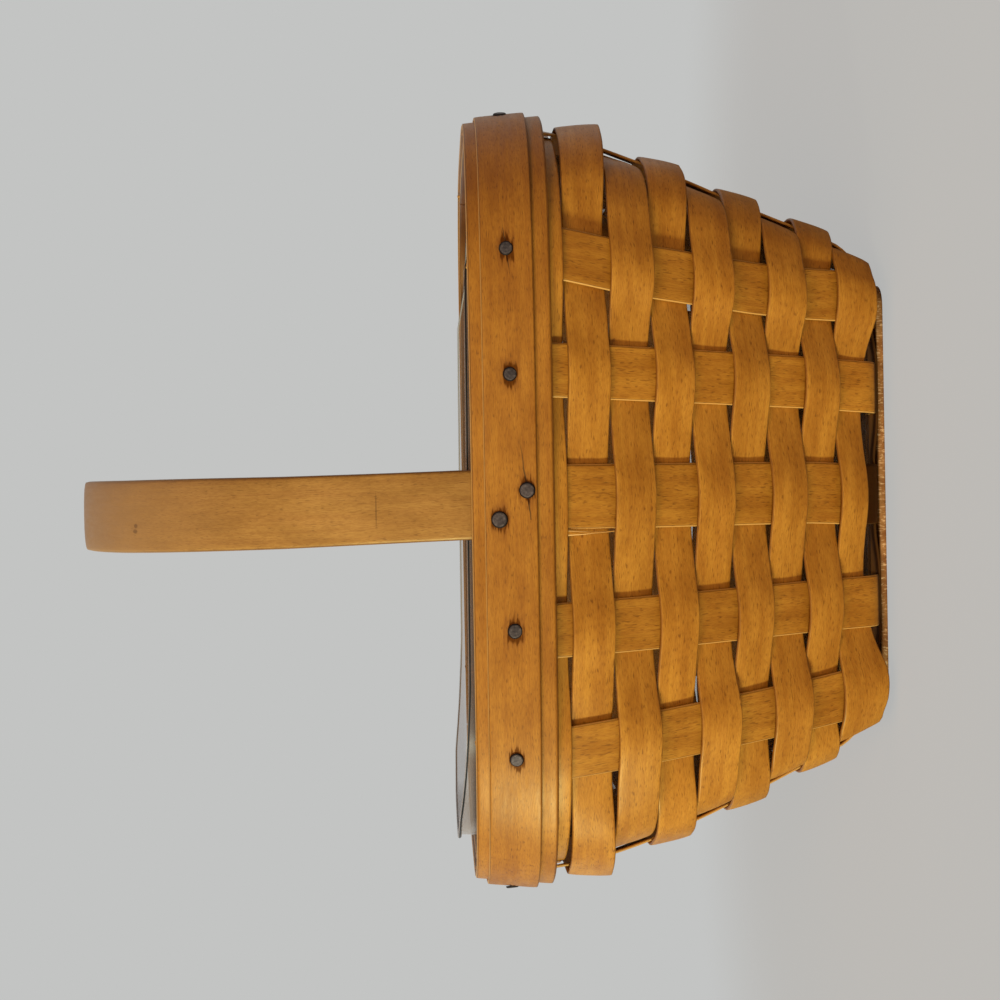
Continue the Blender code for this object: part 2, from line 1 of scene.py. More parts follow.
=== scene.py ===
# %% [markdown]
# # A splint basket for pies
#
# The basket is woven of flat maple splint. Ten ground splints cross under it and turn up as its
# stakes, nine weavers go round them, and two bands and a trim band hold the rim. A bent handle is
# tacked between the bands, and a clear plastic liner stands inside.
#
# Almost every piece is the same thing: a flat strip of wood that follows a path. So one Geometry
# Nodes tree makes all the strips, and Python only works out the paths, from the same rules as the
# solids. The first cell loads those solids.

# %% Load the solids
import bisect
import math
import random

import bmesh
import bpy
from mathutils import Matrix, Vector


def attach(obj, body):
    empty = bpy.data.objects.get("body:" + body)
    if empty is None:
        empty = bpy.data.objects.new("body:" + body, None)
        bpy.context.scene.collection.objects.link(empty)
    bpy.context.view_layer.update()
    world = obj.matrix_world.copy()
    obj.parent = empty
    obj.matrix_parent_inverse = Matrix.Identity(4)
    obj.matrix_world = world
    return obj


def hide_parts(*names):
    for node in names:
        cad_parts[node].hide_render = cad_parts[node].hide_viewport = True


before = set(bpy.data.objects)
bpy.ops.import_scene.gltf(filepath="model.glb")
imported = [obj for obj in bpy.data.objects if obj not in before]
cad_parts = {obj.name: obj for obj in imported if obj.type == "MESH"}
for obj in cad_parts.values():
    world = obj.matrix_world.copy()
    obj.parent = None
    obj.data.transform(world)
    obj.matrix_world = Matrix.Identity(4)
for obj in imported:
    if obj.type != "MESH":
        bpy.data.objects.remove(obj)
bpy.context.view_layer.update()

MM = 0.001

# %% [markdown]
# ## The wall
#
# A stake runs level under the basket, turns up through a small heel and flares out in one long
# curve until it stands upright in the rim. Seen from above, the wall is nearly a square at the
# base and a square with bowed sides at the rim, which a superellipse draws with one exponent: a
# high one is square, a low one is round. A place on the wall is an angle round the basket and a
# level, the share of the length up the wall. These are the rules that the solids follow too.

# %% Sizes of the wall and of the stakes
RIM_HEIGHT = 132.5 * MM
RIM_HALF = 118.4 * MM
BASE_HALF = 69.0 * MM
HEEL_RADIUS = 8.0 * MM
HEEL_FLARE = math.radians(25)
WALL_PULL, RIM_PULL = 40.0 * MM, 30.0 * MM       # how far the curve's lower and upper end pull on it
RIM_UPRIGHT = 14.0 * MM                          # the wall stands upright for this far below its top
HEEL_STEPS, WALL_STEPS = 24, 200
BASE_SQUARENESS = 14.0
RIM_SQUARENESS = 4.0
BASE_MIDDLE = 3.65 * MM
BASE_STEP = 0.65 * MM                            # a splint lies this far above or below that middle
STAKE_THICKNESS = 1.0 * MM
OUTER_AT_BASE, INNER_AT_BASE = 60.4 * MM, 33.22 * MM
OUTER_AT_RIM, INNER_AT_RIM = 75.93 * MM, 38.57 * MM
PLACES_AT_BASE = (-OUTER_AT_BASE, -INNER_AT_BASE, 0, INNER_AT_BASE, OUTER_AT_BASE)
PLACES_AT_RIM = (-OUTER_AT_RIM, -INNER_AT_RIM, 0, INNER_AT_RIM, OUTER_AT_RIM)
STAKE_WIDTHS = (16 * MM, 16 * MM, 19 * MM, 16 * MM, 16 * MM)
# hand work: each stake of a side stands this far off its even place, in mm at the base and the rim
STRAYS = ((-0.5, -1.0), (0.3, 0.0), (0.9, 1.3), (0.4, 0.5), (-1.3, -0.2))
STRAY_RISE = (0.02, 0.22)                        # shares of the height over which the strays set in
# the +X side has sunk in this deep: heights where that sets in and ends, and places along X
SINK = 2.0 * MM
SINK_FOOT, SINK_TOP, SINK_SIDE = (15 * MM, 50 * MM), (112 * MM, 78 * MM), (30 * MM, 80 * MM)
LEVEL_STEP = 0.004                               # directions up the wall are measured over this
QUARTER_TURN, FULL_TURN = math.pi / 2, 2 * math.pi


def lerp(a, b, share):
    return a + (b - a) * share


def clamped(share):
    return min(max(share, 0), 1)


def ramp(value, start, end):
    """From 0 at start to 1 at end, and level at both."""
    share = clamped((value - start) / (end - start))
    return share * share * (3 - 2 * share)


def bezier(a, b, c, d, t):
    s = 1 - t
    return a * s ** 3 + 3 * b * s * s * t + 3 * c * s * t * t + d * t ** 3


def looked_up(value, keys, results):
    """What a table of rising keys gives for a value."""
    i = min(max(bisect.bisect_right(keys, value), 1), len(keys) - 1)
    share = (value - keys[i - 1]) / (keys[i] - keys[i - 1])
    return lerp(results[i - 1], results[i], share)


def lengths_along(points):
    """How far along the line through the points each of them lies."""
    lengths = [0.0]
    for a, b in zip(points, points[1:]):
        lengths.append(lengths[-1] + math.dist(a, b))
    return lengths


# %% The line up the wall
def wall_outline():
    """Half widths and heights up the middle of a side."""
    turn = QUARTER_TURN - HEEL_FLARE
    points = []
    for i in range(HEEL_STEPS + 1):
        angle = turn * i / HEEL_STEPS
        points.append((BASE_HALF + HEEL_RADIUS * math.sin(angle),
                       BASE_MIDDLE + HEEL_RADIUS * (1 - math.cos(angle))))
    half, height = points.pop()
    lean, rise = WALL_PULL * math.sin(HEEL_FLARE), WALL_PULL * math.cos(HEEL_FLARE)
    top = RIM_HEIGHT - RIM_UPRIGHT
    for i in range(WALL_STEPS + 1):
        points.append((bezier(half, half + lean, RIM_HALF, RIM_HALF, i / WALL_STEPS),
                       bezier(height, height + rise, top - RIM_PULL, top, i / WALL_STEPS)))
    points.append((RIM_HALF, RIM_HEIGHT))
    return points


OUTLINE = wall_outline()
HALVES, HEIGHTS = zip(*OUTLINE)
LENGTHS = lengths_along(OUTLINE)
WALL_LENGTH = LENGTHS[-1]
print('the wall is', round(WALL_LENGTH / MM, 1), 'mm long from the heel to the rim')

# %% Places and directions on the wall
def wall_place(level):
    """Half width and height of the wall at a level."""
    length = clamped(level) * WALL_LENGTH
    return looked_up(length, LENGTHS, HALVES), looked_up(length, LENGTHS, HEIGHTS)


def level_at_height(height):
    low, high = 0.0, 1.0
    for _ in range(30):          # halvings
        middle = (low + high) / 2
        if wall_place(middle)[1] < height:
            low = middle
        else:
            high = middle
    return (low + high) / 2


def half_at(height):
    """Half width of the wall at a height."""
    return wall_place(level_at_height(height))[0]


def squareness(level):
    return 1 / lerp(1 / BASE_SQUARENESS, 1 / RIM_SQUARENESS, level)


def stake_place(index, level):
    """How far a stake stands to the side of its side's middle."""
    share = (wall_place(level)[1] - BASE_MIDDLE) / (RIM_HEIGHT - BASE_MIDDLE)
    stray = lerp(*STRAYS[index], share) * MM * ramp(share, *STRAY_RISE)
    return lerp(PLACES_AT_BASE[index], PLACES_AT_RIM[index], share) + stray


def plan_point(half, exponent, angle):
    s, c = math.sin(angle), math.cos(angle)
    reach = half / (abs(s) ** exponent + abs(c) ** exponent) ** (1 / exponent)
    return Vector((reach * s, -reach * c, 0))


def settled(point):
    """No basket is even: this one's wall has sunk in a little half way up its +X side."""
    depth = SINK * ramp(point.z, *SINK_FOOT) * ramp(point.z, *SINK_TOP) * ramp(point.x, *SINK_SIDE)
    return point - Vector((depth, 0, 0))


def frame_from(point_at, level):
    """Place, direction across, and outward normal at a level."""
    below, above = max(level - LEVEL_STEP, 0), min(level + LEVEL_STEP, 1)
    point = point_at(level)
    up = (point_at(above) - point_at(below)).normalized()
    size = max(abs(point.x), abs(point.y))
    power = squareness(level) - 1
    outward = Vector((math.copysign(abs(point.x / size) ** power, point.x),
                      math.copysign(abs(point.y / size) ** power, point.y), 0)).normalized()
    across = Vector((-outward.y, outward.x, 0))
    across = (across - up * across.dot(up)).normalized()
    return point, across, across.cross(up)


def stake_frame(index, level):
    """Frame in the middle of one of the front's stakes, index 0 at the -X end."""
    def point_at(at):
        half, height = wall_place(at)
        place, exponent = stake_place(index, at), squareness(at)
        depth = half * (1 - abs(place / half) ** exponent) ** (1 / exponent)
        return Vector((place, -depth, height))
    return frame_from(point_at, level)


def wall_frame(angle, level):
    """Frame on the wall at an angle from the front's middle, towards +X."""
    def point_at(at):
        half, height = wall_place(at)
        return plan_point(half, squareness(at), angle) + Vector((0, 0, height))
    return frame_from(point_at, level)


# %% [markdown]
# ## Adding nodes
#
# A shader and a Geometry Nodes tree are built in the same way, so one small class holds a tree and
# adds nodes to it. It sets their values, links what feeds them, and has a short word for each kind
# that comes often. Colours are written as they look on a screen, in hex, and one function turns
# them into the linear values that the renderer works with.

# %% Colours, nodes, materials and objects
def linear(hexed):
    """Linear colour of an sRGB hex value."""
    parts = [int(hexed[i:i + 2], 16) / 255 for i in (1, 3, 5)]
    return [c / 12.92 if c <= 0.04045 else ((c + 0.055) / 1.055) ** 2.4 for c in parts] + [1]


def socket_of(sockets, key):
    """A socket by number, or the first one of that name that is in use."""
    if isinstance(key, int):
        return sockets[key]
    return next(s for s in sockets if s.name == key and s.enabled)


class Nodes:
    """Adds nodes to a tree. Where one takes a value, a hex colour, node or socket will do as well."""

    def __init__(self, tree):
        self.tree = tree

    def feed(self, node, feeds):
        """Gives each input that feeds names its value, or a link from a node or socket."""
        for key, value in feeds.items():
            if isinstance(value, bpy.types.Node):
                value = next(s for s in value.outputs if s.enabled)
            elif isinstance(value, str) and value.startswith('#'):
                value = linear(value)
            if isinstance(value, bpy.types.NodeSocket):
                self.tree.links.new(value, socket_of(node.inputs, key))
            else:
                socket_of(node.inputs, key).default_value = value
        return node

    def add(self, kind, feeds=None, **settings):
        node = self.tree.nodes.new(kind)
        for name, value in settings.items():
            setattr(node, name, value)
        return self.feed(node, feeds or {})

    def math(self, how, a, b=0.0, c=0.0):
        return self.add('ShaderNodeMath', {0: a, 1: b, 2: c}, operation=how)

    def times(self, a, b):
        return self.math('MULTIPLY', a, b)

    def vector(self, how, a, b=(0, 0, 0)):
        return self.add('ShaderNodeVectorMath', {0: a, 1: b}, operation=how)

    def scaled(self, vector, size):
        return self.add('ShaderNodeVectorMath', {0: vector, 'Scale': size}, operation='SCALE')

    def length(self, vector):
        return self.vector('LENGTH', vector).outputs['Value']

    def parts(self, vector):
        """Sockets X, Y and Z of a vector."""
        return self.add('ShaderNodeSeparateXYZ', {0: vector}).outputs

    def joined(self, x, y, z=0.0):
        return self.add('ShaderNodeCombineXYZ', {0: x, 1: y, 2: z})

    def noise(self, place, scale, detail, roughness=0.5):
        return self.add('ShaderNodeTexNoise', {'Vector': place, 'Scale': scale, 'Detail': detail,
                                               'Roughness': roughness})

    def ranged(self, value, low=0.0, high=1.0, to_low=0.0, to_high=1.0, how='LINEAR'):
        return self.add('ShaderNodeMapRange', {'Value': value, 'From Min': low, 'From Max': high,
                                               'To Min': to_low, 'To Max': to_high},
                        interpolation_type=how)

    def between(self, value, low, high):
        """0 at low, 1 at high and a soft step in between."""
        return self.ranged(value, low, high, how='SMOOTHSTEP')

    def mixed(self, share, a, b, how='MIX'):
        return self.add('ShaderNodeMix', {'Factor': share, 'A': a, 'B': b}, data_type='RGBA',
                        blend_type=how, clamp_factor=True)

    def bump(self, height, distance, strength):
        return self.add('ShaderNodeBump', {'Height': height, 'Distance': distance, 'Strength': strength})

    def carried(self, name, output='Fac'):
        """For a shader: an attribute that the mesh carries."""
        return self.add('ShaderNodeAttribute', attribute_name=name).outputs[output]

    def spot(self):
        """For a shader: the place on the object."""
        return self.add('ShaderNodeTexCoord').outputs['Object']

    def named(self, name, kind='FLOAT_VECTOR'):
        """For Geometry Nodes: an attribute of the points."""
        return self.add('GeometryNodeInputNamedAttribute', {'Name': name}, data_type=kind)

    def stored(self, geometry, name, value, kind='FLOAT_VECTOR'):
        return self.add('GeometryNodeStoreNamedAttribute',
                        {'Geometry': geometry, 'Name': name, 'Value': value},
                        data_type=kind, domain='POINT')

    def end(self, geometry, material):
        """The last steps of Geometry Nodes: plain mesh, with its material."""
        geometry = self.add('GeometryNodeRealizeInstances', {'Geometry': geometry})
        geometry = self.add('GeometryNodeSetMaterial', {'Geometry': geometry, 'Material': material})
        self.add('NodeGroupOutput', {0: geometry})


def new_material(name):
    """A material, its nodes and its main shader."""
    material = bpy.data.materials.new(name)
    material.use_nodes = True
    return material, Nodes(material.node_tree), material.node_tree.nodes['Principled BSDF']


def new_tree(name, inputs, output):
    """A Geometry Nodes tree, its nodes and what it is given. An input is its name, kind and value."""
    tree = bpy.data.node_groups.new(name, 'GeometryNodeTree')
    for title, kind, value in inputs:
        socket = tree.interface.new_socket(title, in_out='INPUT', socket_type='NodeSocket' + kind)
        if value is not None:
            socket.default_value = value
    tree.interface.new_socket(output, in_out='OUTPUT', socket_type='NodeSocketGeometry')
    nodes = Nodes(tree)
    return tree, nodes, nodes.add('NodeGroupInput').outputs


def placed(name, data, *materials):
    """A new object in the scene."""
    made = bpy.data.objects.new(name, data)
    bpy.context.scene.collection.objects.link(made)
    for material in materials:
        data.materials.append(material)
    return made


# %% [markdown]
# ## Honey-stained maple
#
# The splints are maple, sliced thin along the grain, stained to a honey colour and varnished to a
# semi-gloss. What the eye gets is a golden brown with soft clouds where the stain took unevenly,
# faint long rings, fine fibres, short dark flecks of a millimetre or two, and a tone of its own for
# each strip. The grain always runs along the strip, whatever way that bends, so the pattern can't
# lie on the object's coordinates. Each strip carries an attribute instead: how far along it a point
# is, how far across and how far through, in metres. A noise drawn out along the first of these is
# a fibre. Where a tack goes in, its iron has turned the wood dark, and the thin band has split
# along the grain. The band carries each face's nearest tack, in the same measure, for that.

# %% The wood of the strips
SHEEN = 0.62                     # how strongly the varnish reflects


def honey_maple(name, pale, deep, roughness=0.46, fleck=0.45, cut='#7a4512', worn=0.98, rim=False,
                tacked=False, ticked=False, grey_painted_top=False, foot=0.0, marks=()):
    """Varnished maple splint.

    cut is the colour of its sawn edges, and worn the share of the half width where it begins: on a
    rim band that is the upper edge alone. A dark cut is painted shade on edges in the gaps and on
    those that face away from the light; a pale one is the bare wood. tacked wood has stains, ticked
    wood shows pale end grain, and the grey flag paints the upper part of a handle greyer: painted
    shade and painted reflection where it turns up away from the light. Below foot, a height in mm,
    the heels are painted near black and dull: painted shade in the slit under the lowest weaver.
    marks are dark spots: along, across, length and width in mm.
    """
    material, nodes, shader = new_material(name)
    times, between = nodes.times, nodes.between
    place = nodes.carried('strip', 'Vector')
    edge = nodes.carried('edge')

    def drawn_out(along, across, detail=2.0):
        """Noise whose grains are that many mm long and wide."""
        size = (1 / (along * MM), 1 / (across * MM), 1 / (across * MM))
        return nodes.noise(nodes.vector('MULTIPLY', place, size), 1.0, detail, roughness=0.55)

    def dyed(color, share, strength, dye, how='MULTIPLY'):
        return nodes.mixed(times(share, strength), color, dye, how)

    def dull_where(share, level):
        nodes.feed(shader, {'Specular IOR Level': nodes.ranged(share, to_low=SHEEN, to_high=level)})

    # clouds of stain, and the faint long streaks of the year rings
    clouds = between(drawn_out(20, 7), 0.3, 0.7)
    color = nodes.mixed(clouds, deep, pale)
    color = dyed(color, between(drawn_out(48, 1.5), 0.36, 0.66), 0.2, '#b87c4a')
    # fibres, drawn a little coarser than they are so that they show, then mottle and dark flecks
    fibres = drawn_out(1.9, 0.3)
    color = dyed(color, between(fibres, 0.36, 0.7), 0.3, '#a57440')
    color = dyed(color, between(drawn_out(2.6, 1.3, detail=1.0), 0.42, 0.7), 0.1, '#a8703a')
    color = dyed(color, between(drawn_out(1.9, 0.34, detail=0.0), 0.68, 0.77), fleck, '#6a3a18')
    # the sawn edges, and just inside each a thin dark line: partly varnish gathered there, partly painted
    # shade of the gap beside the strip
    arris = times(between(edge, worn - 0.03, worn - 0.01), between(edge, worn + 0.01, worn))
    color = dyed(color, arris, 0.5, '#5a2c0c')
    sawn = between(edge, worn, worn + 0.015)
    # on a rim band both sawn edges are first painted dark, and only the upper one then takes the pale cut:
    # the lower edge keeps a painted shade line
    if rim:
        color = dyed(color, sawn, 0.6, '#5a2c0c')
        sawn = times(sawn, between(nodes.parts(place)['Y'], 0.0, 1 * MM))
    color = dyed(color, sawn, 0.8, cut, 'MIX')
    # painted shade: below foot the heels, down in the dark slit under the lowest weaver, are painted near
    # black and their sheen is taken off
    if foot:
        x, y, z = nodes.parts(nodes.spot())
        far = nodes.math('MAXIMUM', nodes.math('ABSOLUTE', x), nodes.math('ABSOLUTE', y))
        heel = times(between(z, foot * MM, (foot - 1.2) * MM), between(far, 61 * MM, 66 * MM))
        color = dyed(color, heel, 0.93, '#301307', 'MIX')
        dull_where(heel, 0.05)
    if ticked:
        color = dyed(color, between(drawn_out(9, 0.5), 0.54, 0.66), 0.8, '#ecc294', 'MIX')
    # painted shade and painted reflection: the handle's upper part, which turns up away from the light, is
    # painted greyer
    if grey_painted_top:
        height = nodes.parts(nodes.spot())['Z']
        color = dyed(color, between(height, 190 * MM, 262 * MM), 0.75, '#a9845a', 'MIX')
    if tacked:
        tack = nodes.carried('tack', 'Vector')
        away = nodes.vector('SUBTRACT', place, tack)
        aside = nodes.parts(away)
        apart = nodes.parts(nodes.vector('ABSOLUTE', away))
        reach = nodes.length(nodes.joined(times(apart['X'], 0.62), apart['Y']))
        ragged = nodes.math('MULTIPLY_ADD', drawn_out(7, 0.8), 5.0 * MM, reach)
        color = dyed(color, between(ragged, 6.8 * MM, 3.6 * MM), 0.45, '#9a5224')
        soaked = between(ragged, 5.1 * MM, 4.3 * MM)
        color = dyed(color, soaked, 0.6, '#5a2a16')
        dull_where(soaked, 0.12)
        # a split runs both ways from the tack, a little aslant, and tapers out
        taper = nodes.math('DIVIDE', apart['X'], nodes.parts(tack)['Z'])
        width = nodes.math('MULTIPLY_ADD', taper, -0.3 * MM, 0.3 * MM)
        wobble = nodes.math('SUBTRACT', drawn_out(5, 40), 0.5)
        middle = nodes.math('MULTIPLY_ADD', wobble, 0.9 * MM, aside['Y'])
        middle = nodes.math('MULTIPLY_ADD', aside['X'], -0.125, middle)
        split = nodes.math('SUBTRACT', width, nodes.math('ABSOLUTE', middle))
        color = dyed(color, between(split, -0.12 * MM, 0.12 * MM), 0.85, '#2c1407', 'MIX')
    for along, across, long, wide in marks:
        away = nodes.vector('SUBTRACT', place, (along * MM, across * MM, 0))
        away = nodes.vector('MULTIPLY', away, (1 / (long * MM), 1 / (wide * MM), 0))
        color = dyed(color, between(nodes.length(away), 1.0, 0.4), 0.55, '#6a4020')

    # each strip has its own depth of stain
    level = nodes.math('MULTIPLY_ADD', nodes.carried('tone'), 0.09, 1.0)
    nodes.feed(shader, {
        'Base Color': nodes.add('ShaderNodeHueSaturation', {'Value': level, 'Color': color}),
        'Roughness': nodes.ranged(drawn_out(7, 1.2), to_low=roughness - 0.08, to_high=roughness + 0.12),
        'IOR': 1.5, 'Specular IOR Level': SHEEN, 'Specular Tint': '#ffe9b0',
        'Normal': nodes.bump(nodes.math('ADD', fibres, clouds), 0.05 * MM, 0.5)})
    return material


# along and across the handle from the foot of its front leg: two knots, and a fine line across
HANDLE_MARKS = ((132.0, -2.9, 1.3, 0.9), (132.4, -4.5, 1.6, 0.9), (48.5, -0.3, 0.28, 6.5))
STAKE_TONES, BAND_TONES = ('#c48a32', '#ae7424'), ('#b57b2b', '#a2681f')
STAKE_EDGE = {'cut': '#d2a058', 'worn': 0.955}
BAND_EDGE = {'cut': '#e0b26c', 'rim': True}
# both stake woods carry painted shade at their heels, and the stakes that the lowest weaver presses in carry
# it higher up
STAKE_MAPLE = honey_maple('honey_maple_stake', *STAKE_TONES, foot=5.6, **STAKE_EDGE)
HIDDEN_STAKE_MAPLE = honey_maple('honey_maple_stake_dark_at_the_foot', *STAKE_TONES, foot=10.0, **STAKE_EDGE)
# the weavers keep the dark default cut: painted shade on their edges in the gaps between the rows
WEAVER_MAPLE = honey_maple('honey_maple_weaver', '#c98e35', '#b37827')
BAND_MAPLE = honey_maple('honey_maple_band', *BAND_TONES, worn=0.972, **BAND_EDGE)
# the inner band is painted in darker tones than the outer ones: painted shade of the basket's inside
SHADED_INNER_MAPLE = honey_maple('honey_maple_inner_band', '#84501e', '#6c3e16', worn=0.972, **BAND_EDGE)
TRIM_MAPLE = honey_maple('honey_maple_trim_band', *BAND_TONES, worn=0.965, tacked=True, **BAND_EDGE)
# the handle keeps the dark default cut, painted shade on its edges, and its top is painted greyer: painted
# shade and painted reflection
HANDLE_MAPLE = honey_maple('honey_maple_handle', '#ae8244', '#9d7237', fleck=0.35, grey_painted_top=True,
                           marks=HANDLE_MARKS)
print('woods', [m.name for m in (STAKE_MAPLE, WEAVER_MAPLE, BAND_MAPLE, TRIM_MAPLE, HANDLE_MAPLE)])

# %% [markdown]
# ## The strip
#
# Real splint is sliced flat, with edges that are only just broken. A strip could be made with
# Curve to Mesh alone, but its twist would then be Blender's guess. Here the path brings its own
# two directions for each point: sideways reaches to the strip's edge and outward to its face. The
# tree sweeps a round profile along the path, which gives the faces, and then puts every point
# where those two directions say, with the round profile squeezed into a flat one. That way two
# edges can follow the wall at their own heights, and the handle can grow thicker as it rises.

# %% The tree that turns a path into a strip
def strip_tree():
    tree, nodes, given = new_tree('flat strip along a path', (
        ('Path', 'Geometry', None), ('Profile points', 'Int', 24), ('Side power', 'Float', 0.75),
        ('Face power', 'Float', 0.18), ('Crown', 'Float', 0.0), ('Unevenness', 'Float', 0.0),
        ('Start', 'Float', 0.0), ('Tone', 'Float', 0.0), ('Wood', 'Material', None)), 'Strip')
    position = nodes.add('GeometryNodeInputPosition')
    path = nodes.add('GeometryNodeMeshToCurve', {'Mesh': given['Path']})
    path = nodes.stored(path, 'along', nodes.add('GeometryNodeSplineParameter').outputs['Length'], 'FLOAT')
    path = nodes.stored(path, 'middle', position)

    # a circle squeezed into a flat section: x and y keep their sign and take a power
    circle = nodes.add('GeometryNodeCurvePrimitiveCircle',
                       {'Resolution': given['Profile points'], 'Radius': 1.0}, mode='RADIUS')
    flat = []
    for part, power in zip(nodes.parts(position), (given['Side power'], given['Face power'])):
        size = nodes.math('POWER', nodes.math('ABSOLUTE', part), power)
        flat.append(nodes.times(size, nodes.math('SIGN', part)))
    circle = nodes.stored(circle, 'section', nodes.joined(*flat))

    body = nodes.add('GeometryNodeCurveToMesh', {'Curve': path, 'Profile Curve': circle,
                                                 'Fill Caps': True})
    side, face, _ = nodes.parts(nodes.named('section'))
    sideways, outward = nodes.named('sideways'), nodes.named('outward')
    along = nodes.math('ADD', nodes.named('along', 'FLOAT'), given['Start'])
    across = nodes.times(side, nodes.length(sideways))
    through = nodes.times(face, nodes.length(outward))
    strip_place = nodes.joined(along, across, through)

    # the face is crowned across, and no strip is quite even along its length
    crown = nodes.times(nodes.math('SUBTRACT', 0.5, nodes.times(side, side)), given['Crown'])
    waves = nodes.noise(nodes.vector('MULTIPLY', strip_place, (55, 90, 0)), 1.0, 1.0)
    uneven = nodes.times(nodes.math('SUBTRACT', waves, 0.5), given['Unevenness'])
    facing, proud = nodes.vector('NORMALIZE', outward), nodes.math('ADD', crown, uneven)
    place = nodes.named('middle')
    for direction, size in ((sideways, side), (outward, face), (facing, proud)):
        place = nodes.vector('ADD', place, nodes.scaled(direction, size))
    body = nodes.add('GeometryNodeSetPosition', {'Geometry': body, 'Position': place})

    body = nodes.stored(body, 'strip', strip_place)
    body = nodes.stored(body, 'edge', nodes.math('ABSOLUTE', side), 'FLOAT')
    body = nodes.stored(body, 'tone', given['Tone'], 'FLOAT')
    for helper in ('along', 'middle', 'section', 'sideways', 'outward'):
        body = nodes.add('GeometryNodeRemoveAttribute', {'Geometry': body, 'Name': helper})
    body = nodes.add('GeometryNodeSetShadeSmooth', {'Geometry': body, 'Shade Smooth': True})
    nodes.end(body, given['Wood'])
    return tree


STRIP_TREE = strip_tree()
print('nodes in the strip tree', len(STRIP_TREE.nodes))

# %% Run a tree and keep its result as a plain mesh
def grown(name, tree, start, values):
    """An object whose mesh is what a tree makes of the start mesh. values go by the inputs' names."""
    made = placed(name, start)
    modifier = made.modifiers.new('making', 'NODES')
    modifier.node_group = tree
    for item in tree.interface.items_tree:
        if item.item_type == 'SOCKET' and item.in_out == 'INPUT' and item.name in values:
            modifier[item.identifier] = values[item.name]
    graph = bpy.context.evaluated_depsgraph_get()
    mesh = bpy.data.meshes.new_from_object(made.evaluated_get(graph), preserve_all_data_layers=True,
                                           depsgraph=graph)
    made.modifiers.clear()
    made.data = mesh
    bpy.data.meshes.remove(start)
    mesh.name = name
    builder = bmesh.new()
    builder.from_mesh(mesh)
    bmesh.ops.recalc_face_normals(builder, faces=builder.faces)
    builder.to_mesh(mesh)
    builder.free()
    return made


def carry(mesh, name, vectors, domain='POINT'):
    """Stores a vector at each point or face of a mesh."""
    layer = mesh.attributes.new(name, 'FLOAT_VECTOR', domain)
    layer.data.foreach_set('vector', [v for vector in vectors for v in vector])


def strip(name, stations, wood, body='basket', crown=0.0, uneven=0.0, tone=None,
          begin=None, side_power=0.75, face_power=0.18):
    """A strip through stations of place, half width vector and half thickness vector.

    begin is where its grain starts, in metres, and tone its depth of stain. The name seeds both.
    """
    chance = random.Random(name)
    start = bpy.data.meshes.new(name + ' path')
    points, sideways, outward = zip(*stations)
    start.from_pydata(points, [(i, i + 1) for i in range(len(points) - 1)], [])
    carry(start, 'sideways', sideways)
    carry(start, 'outward', outward)
    made = grown(name, STRIP_TREE, start, {
        'Crown': crown, 'Unevenness': uneven,
        'Start': chance.uniform(0, 9) if begin is None else begin,
        'Tone': chance.uniform(-1, 1) if tone is None else tone,
        'Side power': side_power, 'Face power': face_power, 'Wood': wood})
    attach(made, body)
    return made


# %% [markdown]
# ## The ground splints
#
# Five strips lie along Y and five along X. They cross over and under in the base, and each turns
# up at both ends. The path runs from the top of the front's stake down the wall, round the heel,
# across the base and up the back, with a station every few millimetres so that the bends stay
# smooth. In the base the strip rises and falls a little at each crossing.

# %% Paths of the ground splints
HEEL_SHARE = HEEL_RADIUS * (QUARTER_TURN - HEEL_FLARE) / WALL_LENGTH
LOWEST_WEAVER_UP = 14.4 * MM
HEEL_SWAYS = (5.0 * MM, 0.0)     # how far the even and the odd stakes are pressed in at the heel
STAKE_TOP = level_at_height(RIM_HEIGHT - 1.0 * MM)
CROSSING_GAP = 0.5 * MM          # a splint rises or falls between crossings, but for this
HEEL_STATIONS, WALL_STATIONS, BASE_STATIONS = 8, 60, 52


def wall_stations(index, start_offset):
    """Stations of one of the front's stakes, from the heel up."""
    levels = [HEEL_SHARE * i / HEEL_STATIONS for i in range(HEEL_STATIONS)]
    levels += [lerp(HEEL_SHARE, STAKE_TOP, i / WALL_STATIONS) for i in range(WALL_STATIONS + 1)]
    stations = []
    for level in levels:
        point, across, normal = stake_frame(index, level)
        point = point - normal * start_offset * (1 - min(level / HEEL_SHARE, 1))
        # the lowest weaver presses every other stake in, and lies behind the rest
        point.y += HEEL_SWAYS[index % 2] * (1 - ramp(level * WALL_LENGTH / LOWEST_WEAVER_UP, 0.3, 1.3))
        stations.append((point, across * STAKE_WIDTHS[index] / 2, normal * STAKE_THICKNESS / 2))
    return stations


def splint_stations(index, even_level):
    """Stations from rim to rim. even_level is the height of its even crossings over the middle."""
    def level_over(crossing):
        return even_level if (crossing + index) % 2 == 0 else -even_level

    def base_height(y):
        for c in range(4):
            start = PLACES_AT_BASE[c] + STAKE_WIDTHS[c] / 2 + CROSSING_GAP
            end = PLACES_AT_BASE[c + 1] - STAKE_WIDTHS[c + 1] / 2 - CROSSING_GAP
            if y < end or c == 3:
                return lerp(level_over(c), level_over(c + 1), ramp(y, start, end))

    half_turn = Matrix.Rotation(math.pi, 3, 'Z')
    stations = list(reversed(wall_stations(index, level_over(0))))
    for i in range(1, BASE_STATIONS):
        y = lerp(-BASE_HALF, BASE_HALF, i / BASE_STATIONS) * (1 - HEEL_SWAYS[index % 2] / BASE_HALF)
        stations.append((Vector((PLACES_AT_BASE[index], y, BASE_MIDDLE + base_height(y))),
                         Vector((STAKE_WIDTHS[index] / 2, 0, 0)),
                         Vector((0, 0, -STAKE_THICKNESS / 2))))
    for point, across, normal in wall_stations(4 - index, level_over(4)):
        stations.append((half_turn @ point, -(half_turn @ across), half_turn @ normal))
    return stations


